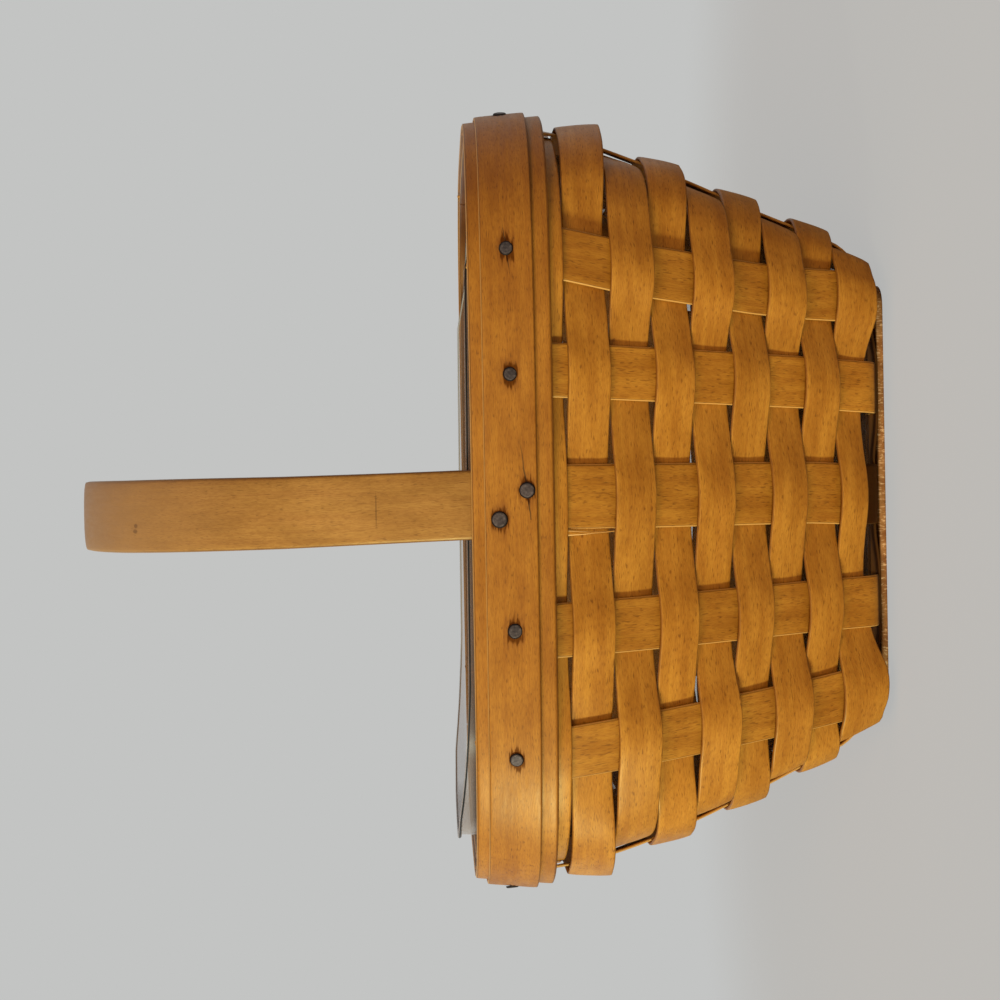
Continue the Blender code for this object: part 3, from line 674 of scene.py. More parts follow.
# %% Make the ground splints
for index in range(5):
    for node, even_level, turn in ((f'long_splint_{index + 1}', -BASE_STEP, 0),
                                   (f'cross_splint_{index + 1}', BASE_STEP, QUARTER_TURN)):
        around = Matrix.Rotation(turn, 3, 'Z')
        path = []
        for place, sideways, outward in splint_stations(index, even_level):
            path.append((settled(around @ place), around @ sideways, around @ outward))
        made = strip(node + '_maple', path, STAKE_MAPLE if index % 2 else HIDDEN_STAKE_MAPLE,
                     crown=0.1 * MM, uneven=0.12 * MM)
        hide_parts(node)
print('a ground splint has', len(path), 'stations and', len(made.data.polygons), 'faces')

# %% [markdown]
# ## The weavers
#
# A weaver passes outside one stake and inside the next. Between two stakes it swings through in a
# gentle S, and over a stake it bows out a little. Its two edges follow the wall, each at its own
# level, so the strip leans with the flare. Round a corner a flat strip can't lean that much: it
# swings wide there and stands more upright, with its lower edge out. The path counts
# its way round in metres, which makes the S the same length on every side. The two ends lap behind
# one stake at the back.

# %% Where the weavers lie
WEAVERS, STAKES = 9, 20
WEAVER_WIDTH = 12.9 * MM
WEAVER_THICKNESS = 1.2 * MM
WEAVE_OFFSET = 1.45 * MM         # its middle passes a stake's middle at this distance
INSIDE_EXTRA = 0.3 * MM          # and a little further off where it passes inside
LAP_GAP = 0.6 * MM               # between the two ends, where they lap
END_PAST = 0.5 * MM              # each end reaches this far past the lap's stake
PITCH, PITCH_GROWTH = 13.313 * MM, 0.14 * MM
SWING_START = 4.5 * MM           # the S starts this far inside a stake's edge
# over a stake a weaver bows out by this on the front and back, and on the two sides
FLOAT_BOWS = (1.2 * MM, 0.45 * MM)
FLOAT_FADE = 14 * MM             # the bow is gone at this distance from the stake's middle
# in mm for each row from the top one down: how far it swings wide between a corner's two stakes, how
# far all of it stands out there, and how far its lower edge does
CORNER_BULGES = (0, 1.6, 1.0, 1.6, 0.9, 0.5, 0.9, 0.7, 1.0)
CORNER_STANDS = (0, 1.0, 0, 0, 0, 0, 0, 0, 0)
CORNER_LEANS = (0.4, 3.4, 1.8, 1.9, 1.8, 1.9, 1.5, 1.4, 1.6)
CORNER_REACH = 24 * MM           # the lean fades over this length past the corner's two stakes
LEAN_AT_TOP = 0.12               # the upper edge goes in by this share of what the lower comes out
TOP_ROW_DROP, TOP_ROW_GAP = 0.4 * MM, 0.3 * MM   # the top row is wider below, and its ends meet
LOWEST_TUCK = 2.9 * MM           # the lowest weaver is planed narrower in the middle of each side
LOWEST_DROPS = (-2.1 * MM, -0.2 * MM)    # and left wider round the corners on the -X and the +X side
TUCK_FADE = (14 * MM, 62 * MM)           # from that middle to the corner
ROUND_STEPS, STATION_STEP = 1440, 2.2 * MM

weaver_middles = [LOWEST_WEAVER_UP]
for i in range(WEAVERS - 1):
    weaver_middles.append(weaver_middles[-1] + PITCH + (i - (WEAVERS - 2) / 2) * PITCH_GROWTH)
print('weaver middles up the wall, mm', [round(m / MM, 1) for m in weaver_middles])

# %% One weaver's path
def round_table(level):
    """Angles round the basket, and how far along the way each lies, at a level."""
    half, _ = wall_place(level)
    angles = [FULL_TURN * i / ROUND_STEPS for i in range(ROUND_STEPS + 1)]
    return angles, lengths_along([plan_point(half, squareness(level), a) for a in angles])


def stake_lengths(level, angles, lengths):
    """How far along the way each of the twenty stakes stands, from the front's -X end on."""
    found = []
    for count in range(STAKES):
        side, index = divmod(count, 5)
        point, _, _ = stake_frame(index, level)
        lap, angle = divmod(side * QUARTER_TURN + math.atan2(point.x, -point.y), FULL_TURN)
        found.append(looked_up(angle, angles, lengths) + lap * lengths[-1])
    return found


def weaver_stations(row, middle):
    """Stations of one weaver. row counts from the top, where it is 0."""
    angles, lengths = round_table(middle / WALL_LENGTH)
    whole = lengths[-1]
    stakes = stake_lengths(middle / WALL_LENGTH, angles, lengths)
    first = 10 if row % 2 else 11        # the stake at the back where the two ends lap
    last = first + STAKES
    is_top = row == 0

    def stake_at(count):
        return stakes[count % STAKES] + count // STAKES * whole

    def half_width(count):
        return STAKE_WIDTHS[count % 5] / 2

    def offset_over(count):
        if count >= last and not is_top:
            return -WEAVE_OFFSET - WEAVER_THICKNESS - LAP_GAP
        return WEAVE_OFFSET if (count + row) % 2 == 0 else -WEAVE_OFFSET - INSIDE_EXTRA

    def corner_share(length):
        """1 between the two stakes at a corner, and from there down to 0."""
        corners = [c for c in range(first - 5, last + 5) if c % 5 == 4]
        past = min(max(stake_at(c) - length, length - stake_at(c + 1)) for c in corners)
        return 1 - ramp(past, 0, CORNER_REACH)

    def offset_at(length):
        """How far out the strip's middle lies, and how much further its lower edge."""
        count = first
        while count < last and length > stake_at(count + 1):
            count += 1
        begin = stake_at(count) + half_width(count)
        end = stake_at(count + 1) - half_width(count + 1)
        offset = offset_over(count)
        if count < last:
            swing = ramp(length, begin - SWING_START, end + SWING_START)
            offset = lerp(offset, offset_over(count + 1), swing)
        outside = clamped((offset + WEAVE_OFFSET) / (2 * WEAVE_OFFSET))
        if count % 5 == 4:
            share = clamped((length - begin) / (end - begin))
            offset += CORNER_BULGES[row] * MM * math.sin(math.pi * share) ** 2
        near, nearest = min((abs(length - stake_at(c)), c) for c in (count, count + 1))
        bow = FLOAT_BOWS[1] if is_top else FLOAT_BOWS[nearest // 5 % 2]
        offset += bow * outside * (1 - ramp(near, 0, FLOAT_FADE))
        at_corner = outside * corner_share(length) * MM
        return offset + CORNER_STANDS[row] * at_corner, CORNER_LEANS[row] * at_corner

    reach = -TOP_ROW_GAP if is_top else half_width(first) + END_PAST
    begin, end = stake_at(first) - reach, stake_at(last) + reach
    steps = round((end - begin) / STATION_STEP)
    stations = []
    for i in range(steps + 1):
        length = lerp(begin, end, i / steps)
        angle = looked_up(length % whole, lengths, angles)
        offset, lean = offset_at(length)
        foot = -WEAVER_WIDTH / 2 - (TOP_ROW_DROP if is_top else 0)
        if row == WEAVERS - 1:
            place, _, _ = wall_frame(angle, middle / WALL_LENGTH)
            drop = lerp(*LOWEST_DROPS, ramp(place.x, -BASE_HALF, BASE_HALF))
            foot += lerp(LOWEST_TUCK, drop, ramp(min(abs(place.x), abs(place.y)), *TUCK_FADE))
        edges = []
        for edge, stand in ((foot, offset + lean), (WEAVER_WIDTH / 2, offset - lean * LEAN_AT_TOP)):
            point, _, normal = wall_frame(angle, (middle + edge) / WALL_LENGTH)
            edges.append((point + normal * stand, normal))
        (low, low_normal), (high, high_normal) = edges
        outward = low_normal + high_normal
        up = (high - low).normalized()
        outward = (outward - up * outward.dot(up)).normalized()
        stations.append((settled((low + high) / 2), (high - low) / 2, outward * WEAVER_THICKNESS / 2))
    return stations


# %% Make the weavers
for number, middle in enumerate(weaver_middles, 1):
    path = weaver_stations(WEAVERS - number, middle)
    made = strip(f'weaver_{number}_maple', path, WEAVER_MAPLE, crown=0.18 * MM, uneven=0.2 * MM)
    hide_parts(f'weaver_{number}')
print('a weaver has', len(path), 'stations and', len(made.data.polygons), 'faces')

# %% [markdown]
# ## A splinter
#
# The front's middle stake has a sliver split off its edge, just below the top weaver. It could be
# cut out of the stake's own mesh. It is a short tapered strip instead, because the strip tree is at
# hand and the crack then comes by itself, as the gap beside it.

# %% Make the splinter
SPLINTER_MAPLE = honey_maple('honey_maple_splinter', *STAKE_TONES, cut='#e6bc7c', worn=0.55)
SPLINTER_SHARES = (0.0, 0.4, 0.55, 1.0)
SPLINTER_WIDTHS = (1.8, 1.0, 0.45, 0.3)         # in mm
SPLINTER_REACHES = (1.9, 1.6, 1.3, 0.9)         # its outer edge past the stake's, in mm
SPLINTER_DEPTHS = (0.45, 0.3)                   # half its thickness at both ends, in shares of the stake's
SPLINTER_LIFT = 0.45 * MM                       # it stands off the stake's face
SPLINTER_TOP, SPLINTER_FOOT, SPLINTER_STEPS = 106 * MM, 91 * MM, 16
stations = []
for i in range(SPLINTER_STEPS + 1):
    share = i / SPLINTER_STEPS
    point, across, normal = stake_frame(2, level_at_height(lerp(SPLINTER_TOP, SPLINTER_FOOT, share)))
    width = looked_up(share, SPLINTER_SHARES, SPLINTER_WIDTHS) * MM
    reach = looked_up(share, SPLINTER_SHARES, SPLINTER_REACHES) * MM
    aside = STAKE_WIDTHS[2] / 2 + reach - width / 2
    stations.append((point - across * aside + normal * SPLINTER_LIFT, across * width / 2,
                     normal * STAKE_THICKNESS * lerp(*SPLINTER_DEPTHS, share)))
splinter = strip('stake_splinter_maple', stations, SPLINTER_MAPLE)
print('faces in the splinter', len(splinter.data.polygons))

# %% [markdown]
# ## The rim
#
# The rim is a sandwich. A wide band outside and an inner band hold the stakes' ends and the
# handle's legs between them, and a narrower trim band lies over the wide one. They are thicker
# than the splints, 1.4 mm, and stand upright, so their two edges share one direction. The inner
# band swings in where it passes the handle's legs. Each band's ends meet in a fine slit.

# %% The rim's bands
BAND_THICKNESS = 1.4 * MM
WIDE_WIDTH, TRIM_WIDTH, INNER_WIDTH = 24.0 * MM, 15.4 * MM, 21.0 * MM
TRIM_TOP = RIM_HEIGHT - 3.7 * MM
TRIM_GAP, SLIT = 0.15 * MM, 0.3 * MM
TOP_WEAVER_EDGE = 117.8 * MM
WIDE_STAND = 2.6 * MM            # the wide band's inner face is this far off the wall at that edge
WIDE_LEAN = 0.6 / 14.7           # and it leans in from there to the rim
INNER_FACE = -3.5 * MM
# the inner band swings in by the bump between the leg's edge and a place clear of it
LEG_BUMP, LEG_RELIEF, LEG_CLEAR = 1.0 * MM, 11.0 * MM, INNER_AT_RIM - 8 * MM
BAND_STEPS = 240


def wide_face(height):
    """Offset of the wide band's inner face from the wall: it leans in a little towards its top."""
    touch = half_at(TOP_WEAVER_EDGE) + WIDE_STAND
    return touch + (TOP_WEAVER_EDGE - height) * WIDE_LEAN - half_at(height)


def trim_face(height):
    return wide_face(height) + BAND_THICKNESS + TRIM_GAP


def leg_swing(point):
    """How far the inner band swings in past the handle's legs."""
    if abs(point.y) < abs(point.x):
        return 0
    return LEG_BUMP * (1 - ramp(abs(point.x), LEG_RELIEF, LEG_CLEAR))


def flattened(normal):
    return Vector((normal.x, normal.y, 0)).normalized()


def band_stations(top, width, face_at, seam, swings=False):
    """Stations once round the rim, from one side of the seam's slit to the other."""
    slit = SLIT / RIM_HALF
    stations = []
    for i in range(BAND_STEPS + 1):
        angle = seam + min(max(FULL_TURN * i / BAND_STEPS, slit), FULL_TURN - slit)
        edges = []
        for height in (top - width, top):
            point, _, normal = wall_frame(angle, level_at_height(height))
            flat = flattened(normal)
            offset = face_at(height) + BAND_THICKNESS / 2 - (leg_swing(point) if swings else 0)
            edges.append(Vector((point.x, point.y, height)) + flat * offset)
        low, high = edges
        stations.append(((low + high) / 2, (high - low) / 2, flat * BAND_THICKNESS / 2))
    return stations


BANDS = (
    ('outer_rim_band', RIM_HEIGHT, WIDE_WIDTH, wide_face, 220, False, BAND_MAPLE),
    ('rim_trim_band', TRIM_TOP, TRIM_WIDTH, trim_face, 140, False, TRIM_MAPLE),
    ('inner_rim_band', RIM_HEIGHT - 0.5 * MM, INNER_WIDTH, lambda height: INNER_FACE, 120, True,
     SHADED_INNER_MAPLE))
for node, top, width, face_at, seam, swings, wood in BANDS:
    path = band_stations(top, width, face_at, math.radians(seam), swings)
    made = strip(node + '_maple', path, wood, uneven=0.15 * MM, tone=0.0, begin=0.0,
                 side_power=0.7, face_power=0.14)
    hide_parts(node)
    if node == 'rim_trim_band':
        trim_band, trim_path = made, path
print('a band has', len(path), 'stations')

# %% [markdown]
# ## The handle
#
# One strip is steamed and bent to an arch, a little flatter on top than a half circle. Its legs
# go down between the bands, where they are planed thin. It is the same tree again, with stations
# that grow wider and thicker towards the top.

# %% Make the handle
HANDLE_RISE = 129.2 * MM
HANDLE_WIDTHS = (20.3 * MM, 22.6 * MM)
LEG_THICKNESS, TOP_THICKNESS = 2.0 * MM, 3.4 * MM
LEG_DEPTH, LEG_INSET = 21.0 * MM, 1.8 * MM       # how far a leg goes down, and its middle in the wall
ARCH_POWER = 2 / 2.3                             # 1 draws a half circle, and less a flatter arch
LEG_STEPS, ARCH_STEPS = 8, 128
# the arch leans aside: height above the rim and place along X, in mm
LEAN_HEIGHTS = (-30.0, 0.0, 27.0, 55.0, 85.0, 107.0, 140.0)
LEANS = (0.0, -0.6, -1.3, -2.0, -2.4, -2.7, -2.7)


def handle_middle():
    """Points from the foot of the front leg over the arch to the foot of the back leg."""
    legs = []
    for i in range(LEG_STEPS):
        height = RIM_HEIGHT - LEG_DEPTH * (1 - i / LEG_STEPS)
        legs.append(Vector((0, LEG_INSET - half_at(height), height)))
    reach, rise = RIM_HALF - LEG_INSET, HANDLE_RISE - TOP_THICKNESS / 2
    arch = []
    for i in range(ARCH_STEPS + 1):
        angle = math.pi * i / ARCH_STEPS
        c, s = math.cos(angle), math.sin(angle)
        arch.append(Vector((0, -math.copysign(reach * abs(c) ** ARCH_POWER, c),
                            RIM_HEIGHT + rise * max(s, 0) ** ARCH_POWER)))
    points = legs + arch + [Vector((0, -p.y, p.z)) for p in reversed(legs)]
    for point in points:
        point.x = looked_up((point.z - RIM_HEIGHT) / MM, LEAN_HEIGHTS, LEANS) * MM
    return points


middle = handle_middle()
stations = []
for point, before, after in zip(middle, middle[:1] + middle, middle[1:] + middle[-1:]):
    swell = ramp(point.z - RIM_HEIGHT, 0, HANDLE_RISE)
    aside = Vector((1, 0, 0))
    outward = aside.cross((after - before).normalized())
    stations.append((point, aside * lerp(*HANDLE_WIDTHS, swell) / 2,
                     outward * lerp(LEG_THICKNESS, TOP_THICKNESS, swell) / 2))
handle = strip('handle_maple', stations, HANDLE_MAPLE, crown=0.25 * MM,
               uneven=0.1 * MM, tone=0.0, begin=0.0, side_power=0.7, face_power=0.3)
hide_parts('handle')
print('the handle has', len(stations), 'stations')

# %% [markdown]
# ## The tacks
#
# Cut steel tacks clinch the bands at every stake, and two at each leg hold the handle. Their heads
# are hammered flat-topped domes, no two alike. Heads repeat, so a tree puts them on points: it
# squashes a ball of triangles to a head, instances it on each point, turns it to face outward and
# gives it a seeded spin, tilt and size. The points carry which way they face and how big they are.

# %% Places of the tacks
TACK_RADIUS, HANDLE_TACK_RADIUS, TACK_HEIGHT = 2.1 * MM, 2.4 * MM, 0.55 * MM
FLAT_CROWN = 0.62                # a head is a ball cut flat at this share of its radius
TRIM_MIDDLE = TRIM_TOP - TRIM_WIDTH / 2


def tack_place(side, index, height, aside):
    """Point on the trim band's outer face over a stake, and its outward direction."""
    point, across, normal = stake_frame(index, level_at_height(height))
    flat = flattened(normal)
    turn = Matrix.Rotation(side * QUARTER_TURN, 3, 'Z')
    seat = point + across * aside + flat * (trim_face(height) + BAND_THICKNESS)
    return turn @ seat, turn @ flat


# how far each tack of a side strays up and aside from its stake, and half the length of its split
TACK_STRAYS = ((-0.7, 2.5, 0.2), (-0.5, 1.2, 0.2), (0, 0, 0.2), (-0.4, -2.0, 0.2), (-0.3, -2.5, 8.0))
HANDLE_TACK_STRAYS = ((-4.6, 2.1, 15.0), (3.4, -6.2, 2.5))
tacks, splits = [], []
for side in range(4):
    for index in range(5):
        strays, radius = (TACK_STRAYS[index],), TACK_RADIUS
        if index == 2 and side % 2 == 0:
            strays, radius = HANDLE_TACK_STRAYS, HANDLE_TACK_RADIUS
        for up, aside, split in strays:
            tacks.append((*tack_place(side, index, TRIM_MIDDLE + up * MM, aside * MM), radius))
            splits.append(split * MM)
print('tacks', len(tacks))

# %% Tell the trim band where its tacks are
def length_on(path, point):
    """How far along a path the place next to a point lies."""
    best, so_far = (math.inf, 0), 0.0
    for a, b in zip(path, path[1:]):
        step = b - a
        share = clamped((point - a).dot(step) / step.length_squared)
        best = min(best, ((a + step * share - point).length, so_far + step.length * share))
        so_far += step.length
    return best[1]


def mark_tacks(band, path):
    """Tells each face of its nearest tack: how far along and across, and half its split's length."""
    middles = [place for place, _, _ in path]
    marks = []
    for (seat, _, _), split in zip(tacks, splits):
        marks.append(Vector((length_on(middles, seat), seat.z - TRIM_MIDDLE, split)))
    mesh = band.data
    places = [v.vector for v in mesh.attributes['strip'].data]
    nearest = []
    for face in mesh.polygons:
        along = sum(places[v].x for v in face.vertices) / len(face.vertices)
        across = sum(places[v].y for v in face.vertices) / len(face.vertices)
        nearest.append(min(marks, key=lambda m: math.hypot(m.x - along, m.y - across)))
    carry(mesh, 'tack', nearest, 'FACE')


mark_tacks(trim_band, trim_path)
print('faces on the trim band', len(trim_band.data.polygons))

# %% The steel of the tacks
def darkened_steel():
    """Blued steel, worn to a dull grey on the crown, with a dark ring round its foot that is painted shade
    where the head meets the band.
    """
    material, nodes, shader = new_material('darkened_tack_steel')
    place = nodes.carried('head_place', 'Vector')
    radius = nodes.length(nodes.vector('MULTIPLY', place, (1, 1, 0)))
    wear = nodes.noise(place, 2.6, 3.0)
    steel = nodes.mixed(nodes.ranged(wear, 0.35, 0.7), '#393334', '#625958')
    # painted shade: the head turns near black towards its rim, where it meets the band
    nodes.feed(shader, {
        'Base Color': nodes.mixed(nodes.ranged(radius, 0.76, 0.88), steel, '#170d08'),
        'Metallic': 0.7, 'Roughness': nodes.ranged(wear, to_low=0.45, to_high=0.7),
        'Normal': nodes.bump(nodes.noise(place, 5.0, 2.0), 0.1 * MM, 0.6)})
    return material


TACK_STEEL = darkened_steel()

# %% The tree that seats the heads
def tack_tree():
    tree, nodes, given = new_tree('tack heads on points', (
        ('Seats', 'Geometry', None), ('Height', 'Float', None), ('Flat crown', 'Float', None),
        ('Seed', 'Int', None), ('Steel', 'Material', None)), 'Heads')
    ball = nodes.add('GeometryNodeMeshIcoSphere', {'Radius': 1.0, 'Subdivisions': 3})
    position = nodes.add('GeometryNodeInputPosition')
    x, y, z = nodes.parts(position)
    dents = nodes.math('SUBTRACT', nodes.noise(position, 1.7, 1.0), 0.5)
    crowned = nodes.math('MINIMUM', nodes.math('MULTIPLY_ADD', dents, 0.16, z), given['Flat crown'])
    shape = nodes.joined(x, y, nodes.math('MAXIMUM', crowned, -0.1))
    ball = nodes.add('GeometryNodeSetPosition', {'Geometry': ball, 'Position': shape})
    ball = nodes.stored(ball, 'head_place', position)

    turned = nodes.add('FunctionNodeAlignRotationToVector', {'Vector': nodes.named('facing')}, axis='Z')
    tilt = nodes.add('FunctionNodeRandomValue', {'Min': (-0.1, -0.1, 0.0), 'Max': (0.1, 0.1, 6.283),
                                                 'Seed': given['Seed']}, data_type='FLOAT_VECTOR')
    spin = nodes.add('FunctionNodeEulerToRotation', {0: tilt})
    turned = nodes.add('FunctionNodeRotateRotation', {0: turned, 1: spin}, rotation_space='LOCAL')
    swell = nodes.add('FunctionNodeRandomValue', {'Min': 0.92, 'Max': 1.06, 'Seed': given['Seed']},
                      data_type='FLOAT')
    wide = nodes.times(nodes.named('radius', 'FLOAT'), swell)
    size = nodes.joined(wide, wide, nodes.math('DIVIDE', given['Height'], given['Flat crown']))
    heads = nodes.add('GeometryNodeInstanceOnPoints', {'Points': given['Seats'], 'Instance': ball,
                                                       'Rotation': turned, 'Scale': size})
    nodes.end(heads, given['Steel'])
    return tree


# %% Seat the tacks
places, facings, radii = zip(*tacks)
seats = bpy.data.meshes.new('tack seats')
seats.from_pydata(places, [], [])
carry(seats, 'facing', facings)
seats.attributes.new('radius', 'FLOAT', 'POINT').data.foreach_set('value', radii)
heads = grown('tack_heads', tack_tree(), seats, {
    'Height': TACK_HEIGHT, 'Flat crown': FLAT_CROWN, 'Seed': 5, 'Steel': TACK_STEEL})
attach(heads, 'basket')
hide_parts(*[f'rim_tack_{i}' for i in range(1, 19)], *[f'handle_tack_{i}' for i in range(1, 5)])
print('faces in the tack heads', len(heads.data.polygons))

# %% [markdown]
# ## The bottom board
#
# A thin square board lies under the crossed splints and carries the weight. Its corners are
# rounded and its edges broken. Seen from the front it shows end grain. Rings of one outline,
# stacked and inset by a rounded edge, make it, and the liner further down is stacked as well.

# %% Stack rings of points to a closed mesh
def ring_stack(name, rings, sharp_angle, marked_row=None):
    """Joins each ring to the next and caps both ends. marked_row takes the second material."""
    builder = bmesh.new()
    rows = [[builder.verts.new(p) for p in ring] for ring in rings]
    for number, (a, b) in enumerate(zip(rows, rows[1:])):
        for i in range(len(a)):
            j = (i + 1) % len(a)
            face = builder.faces.new((a[i], a[j], b[j], b[i]))
            face.material_index = int(number == marked_row)
    builder.faces.new(reversed(rows[0]))
    builder.faces.new(rows[-1])
    bmesh.ops.recalc_face_normals(builder, faces=builder.faces)
    mesh = bpy.data.meshes.new(name)
    builder.to_mesh(mesh)
    builder.free()
    mesh.shade_smooth()
    mesh.set_sharp_from_angle(angle=math.radians(sharp_angle))
    return mesh


# %% Make the bottom board
BOARD_HALF, BOARD_CORNER, BOARD_THICKNESS, BOARD_EDGE = 65.2 * MM, 7.0 * MM, 2.2 * MM, 0.6 * MM
BOARD_SHIFT = Vector((1.3 * MM, 0, 0))
CORNER_STEPS, EDGE_STEPS = 8, 4


def board_ring(inset, height):
    ring = []
    radius = BOARD_CORNER - inset
    for corner in range(4):
        centre = Vector((BOARD_HALF - BOARD_CORNER, -(BOARD_HALF - BOARD_CORNER), 0))
        centre = Matrix.Rotation(corner * QUARTER_TURN, 3, 'Z') @ centre + BOARD_SHIFT
        for step in range(CORNER_STEPS + 1):
            angle = (corner - 1 + step / CORNER_STEPS) * QUARTER_TURN
            spoke = Vector((math.cos(angle), math.sin(angle), 0)) * radius
            ring.append(centre + spoke + Vector((0, 0, height)))
    return ring


def bottom_board():
    edge = []
    for i in range(EDGE_STEPS + 1):
        angle = i / EDGE_STEPS * QUARTER_TURN
        edge.append((BOARD_EDGE * (1 - math.sin(angle)), BOARD_EDGE * (1 - math.cos(angle))))
    edge += [(inset, BOARD_THICKNESS - height) for inset, height in reversed(edge)]
    mesh = ring_stack('bottom_board_maple', [board_ring(*place) for place in edge], 40)
    # the grain runs from front to back, and the edge shows it as ticks
    carry(mesh, 'strip', [(p.co.y, p.co.x, p.co.z / 3) for p in mesh.vertices])
    return mesh


BOARD_MAPLE = honey_maple('honey_maple_board', '#bc8652', '#966034', roughness=0.5, ticked=True)
board = placed('bottom_board_maple', bottom_board(), BOARD_MAPLE)
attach(board, 'basket')
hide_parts('bottom_board')
print('faces in the board', len(board.data.polygons))

# %% [markdown]
# ## The liner
#
# The liner is vacuum formed from thin clear sheet: a flat floor, a round heel, walls that follow
# the basket and a lip turned out at the rim. It never sits quite true: its lip stands up and is
# drawn in a little on the -X side, and sinks below the rim at the other. It is a stack of rings, up
# the outside and down the inside.

# %% Clear plastic
def clear_plastic():
    """Thin clear sheet: nearly all of it is gone from sight, apart from its edges and its gloss."""
    material, nodes, shader = new_material('clear_vacuum_formed_plastic')
    place = nodes.spot()
    facing = nodes.add('ShaderNodeLayerWeight', {'Blend': 0.35}).outputs['Facing']
    lip = nodes.ranged(nodes.parts(place)['Z'], 128 * MM, 134 * MM)
    scuffs, ripple = nodes.noise(place, 1 / (9 * MM), 3.0), nodes.noise(place, 1 / (30 * MM), 1.0)
    # the sheet's body is painted dark grey, painted shade of the basket's inside seen through it, and
    # towards the lip it is painted paler and hazier: a painted reflection
    nodes.feed(shader, {
        'Base Color': nodes.mixed(lip, '#20242b', '#b4aaae'),
        'Alpha': nodes.math('MAXIMUM', nodes.ranged(facing, 0.5, 1.0, 0.15, 0.9), nodes.times(lip, 0.22)),
        'Roughness': nodes.ranged(scuffs, to_low=0.12, to_high=0.28),
        'IOR': 1.57, 'Specular IOR Level': 0.15, 'Normal': nodes.bump(ripple, 1.2 * MM, 0.5)})
    return material


def cut_plastic():
    """The sheet's trimmed edge, painted by where it lies: one dark line in front, painted shade as light
    runs along in it, and a pale line behind, painted light.
    """
    material, nodes, shader = new_material('trimmed_edge_of_clear_plastic')
    place = nodes.spot()
    nicks = nodes.mixed(nodes.noise(place, 1 / (14 * MM), 2.0), '#0b0c0e', '#303338')
    back = nodes.ranged(nodes.parts(place)['Y'], -20 * MM, 60 * MM)
    nodes.feed(shader, {'Base Color': nodes.mixed(back, nicks, '#c8cccf'), 'Roughness': 0.5,
                        'Specular IOR Level': 0.1})
    return material


# %% Make the liner
LINER_OFFSET, LINER_WALL, LINER_HEEL = 5.1 * MM, 1.0 * MM, 11.0 * MM
LINER_FLOOR = 5.1 * MM
LIP_FOOT = RIM_HEIGHT + 0.5 * MM
LIP_OVERHANG = 1.2 * MM
LIP_BREAK = 0.2 * MM             # the lip's edge is broken by this
# the liner sits askew: place along X and how far its lip stands above the rim there, in mm
LIP_PLACES = (-116.0, -101.0, -93.0, -83.0, -70.0, -57.0, 0.0, 68.0, 84.0, 116.0)
LIP_HEIGHTS = (4.9, 4.4, 3.5, 2.6, 1.8, 1.2, 0.9, 0.4, -2.5, -4.0)
ASKEW_BELOW = 60 * MM            # it is bent from this far below the rim upwards
LIP_DRAW = 0.033                 # the lip is drawn in by this share of its place at the -X end
LIP_DRAW_REACH = 90 * MM         # and by ever less up to the middle, from this place on
LIP_ROUNDING = 0.86              # its corners are rounder than the wall's: share of the exponent
FLOOR_SHARES = (0.3, 0.7)        # two rings on the floor
LINER_HEEL_STEPS, LINER_WALL_STEPS, LINER_SEGMENTS = 10, 24, 160


def liner_profile(wall):
    """Half widths and heights up one face. wall is 0 for the outer face."""
    centre = half_at(LINER_FLOOR + LINER_HEEL) - LINER_OFFSET - LINER_HEEL
    radius = LINER_HEEL - wall
    points = [(centre * share, LINER_FLOOR + wall) for share in FLOOR_SHARES]
    for i in range(LINER_HEEL_STEPS + 1):
        angle = i / LINER_HEEL_STEPS * QUARTER_TURN
        points.append((centre + radius * math.sin(angle),
                       LINER_FLOOR + LINER_HEEL - radius * math.cos(angle)))
    for i in range(1, LINER_WALL_STEPS + 1):
        height = lerp(LINER_FLOOR + LINER_HEEL, LIP_FOOT + wall, i / LINER_WALL_STEPS)
        points.append((half_at(min(height, RIM_HEIGHT)) - LINER_OFFSET - wall, height))
    return points


def liner_ring(half, height):
    """Points round the liner, bent askew near the rim."""
    exponent = squareness(level_at_height(min(height, RIM_HEIGHT)))
    exponent *= lerp(1, LIP_ROUNDING, ramp(height, 0, RIM_HEIGHT))
    high = ramp(height, RIM_HEIGHT - ASKEW_BELOW, RIM_HEIGHT)
    ring = []
    for i in range(LINER_SEGMENTS):
        point = plan_point(half, exponent, (i + 0.5) * FULL_TURN / LINER_SEGMENTS)
        askew = looked_up(point.x / MM, LIP_PLACES, LIP_HEIGHTS) * MM - LINER_WALL
        point.x *= 1 - LIP_DRAW * high * ramp(-point.x, 0, LIP_DRAW_REACH)
        point.z = height + askew * high
        ring.append(point)
    return ring


def liner_mesh():
    outer, inner = liner_profile(0), liner_profile(LINER_WALL)
    edge = outer[-1][0] + LIP_OVERHANG
    section = outer + [(edge - LIP_BREAK, LIP_FOOT), (edge, LIP_FOOT + LINER_WALL * 0.25),
                       (edge, LIP_FOOT + LINER_WALL * 0.75), (edge - LIP_BREAK, LIP_FOOT + LINER_WALL)]
    rings = [liner_ring(*place) for place in section + inner[::-1]]
    return ring_stack('clear_liner_sheet', rings, 50, marked_row=len(outer) + 1)


liner = placed('clear_liner_sheet', liner_mesh(), clear_plastic(), cut_plastic())
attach(liner, 'liner')
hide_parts('clear_liner')
print('faces in the liner', len(liner.data.polygons))

# %% [markdown]
# ## Camera, floor and light
#
# The photograph was taken on its side: its left is the basket's up. So the camera is turned a
# quarter round its view, with a long lens from 0.69 m. The floor is a pale disc that fades into a
# pale world, so no horizon shows, and it still takes the basket's shadow. The key light is a
# small soft box, nearly level and well round to the -X side, which throws the short crisp shadows
# at each stake. A weaker warm one stands high at the front, a very weak one hangs overhead, and a
# warm ambient light fills the shadows.

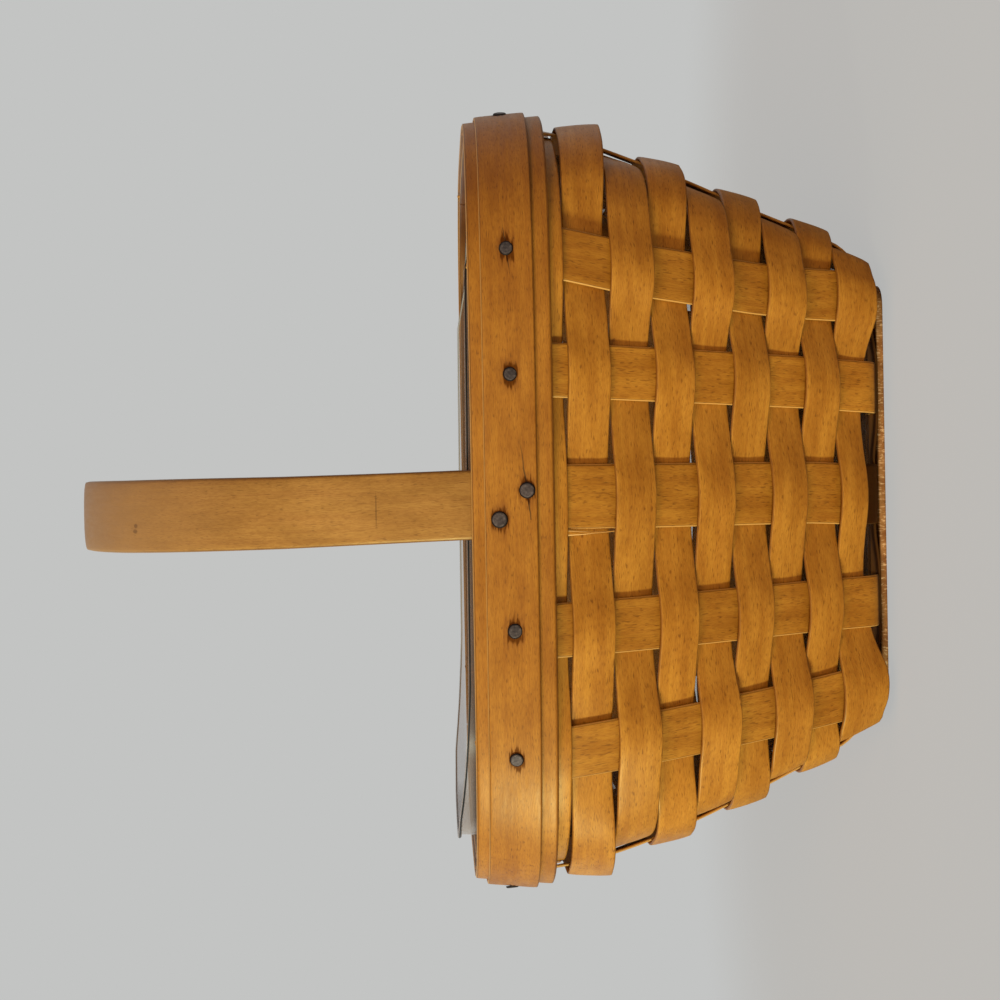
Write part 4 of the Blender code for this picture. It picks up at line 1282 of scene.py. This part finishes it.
# %% Camera
camera_data = bpy.data.cameras.new('view')
camera_data.lens, camera_data.sensor_width = 72, 36
camera = placed('view', camera_data)
lean = Matrix.Rotation(0.0078, 3, 'Z') @ Matrix.Rotation(-0.0298, 3, 'X') @ Matrix.Rotation(0.0189, 3, 'Y')
on_its_side = Matrix(((0, 1, 0), (0, 0, -1), (-1, 0, 0)))
camera.matrix_world = Matrix.Translation((5.173 * MM, -696.007 * MM, 141.375 * MM)) \
    @ (lean @ on_its_side).to_4x4()
bpy.context.scene.camera = camera

# %% Floor
BACKGROUND = '#c3c4c3'
FLOOR_RADIUS, FLOOR_FADE = 0.6, (0.22, 0.5)


def floor_material():
    """Matt paper, partly lit of itself for the camera, whose rim fades into the world."""
    material, nodes, shader = new_material('pale_matt_paper')
    nodes.feed(shader, {'Base Color': '#d6d7d6', 'Roughness': 0.9, 'Specular IOR Level': 0.1})
    fade = nodes.between(nodes.length(nodes.spot()), *FLOOR_FADE)
    gone = nodes.math('MAXIMUM', fade, nodes.add('ShaderNodeNewGeometry').outputs['Backfacing'])
    even = nodes.add('ShaderNodeEmission', {'Color': BACKGROUND, 'Strength': 1.0})
    seen = nodes.times(nodes.add('ShaderNodeLightPath').outputs['Is Camera Ray'], 0.8)
    paper = nodes.add('ShaderNodeMixShader', {0: seen, 1: shader, 2: even})
    clear = nodes.add('ShaderNodeBsdfTransparent')
    mix = nodes.add('ShaderNodeMixShader', {0: gone, 1: paper, 2: clear})
    nodes.feed(material.node_tree.nodes['Material Output'], {'Surface': mix})
    return material


builder = bmesh.new()
bmesh.ops.create_circle(builder, cap_ends=True, segments=96, radius=FLOOR_RADIUS)
floor_mesh = bpy.data.meshes.new('floor')
builder.to_mesh(floor_mesh)
builder.free()
floor = placed('floor', floor_mesh, floor_material())

# %% World and lamps
AIM = Vector((0, 0, 0.1))
world = bpy.data.worlds.new('pale room')
world.use_nodes = True
bpy.context.scene.world = world
nodes = Nodes(world.node_tree)
rays = nodes.add('ShaderNodeLightPath').outputs
seen = nodes.math('MAXIMUM', rays['Is Camera Ray'], rays['Is Transmission Ray'])
seen = nodes.math('MAXIMUM', seen, rays['Is Glossy Ray'])
pale = nodes.add('ShaderNodeBackground', {'Color': BACKGROUND, 'Strength': 1.0})
ambient = nodes.add('ShaderNodeBackground', {'Color': '#fac490', 'Strength': 0.19})
mix = nodes.add('ShaderNodeMixShader', {0: seen, 1: ambient, 2: pale})
nodes.feed(world.node_tree.nodes['World Output'], {'Surface': mix})


def lamp(name, place, size, power, color):
    """A square soft box that looks at the basket's middle."""
    data = bpy.data.lights.new(name, 'AREA')
    data.size, data.energy, data.color = size, power, linear(color)[:3]
    facing = (AIM - Vector(place)).to_track_quat('-Z', 'Y').to_matrix().to_4x4()
    placed(name, data).matrix_world = Matrix.Translation(place) @ facing


lamp('key', (-2.29, -1.6, 0.2), 0.4, 70, '#f8fcdc')
lamp('front', (-0.1, -1.8, 1.0), 0.8, 14.5, '#ffd8a8')
lamp('overhead', (0.0, -0.5, 1.3), 0.8, 1.2, '#fff3e2')
bpy.context.scene.view_settings.view_transform = 'Standard'
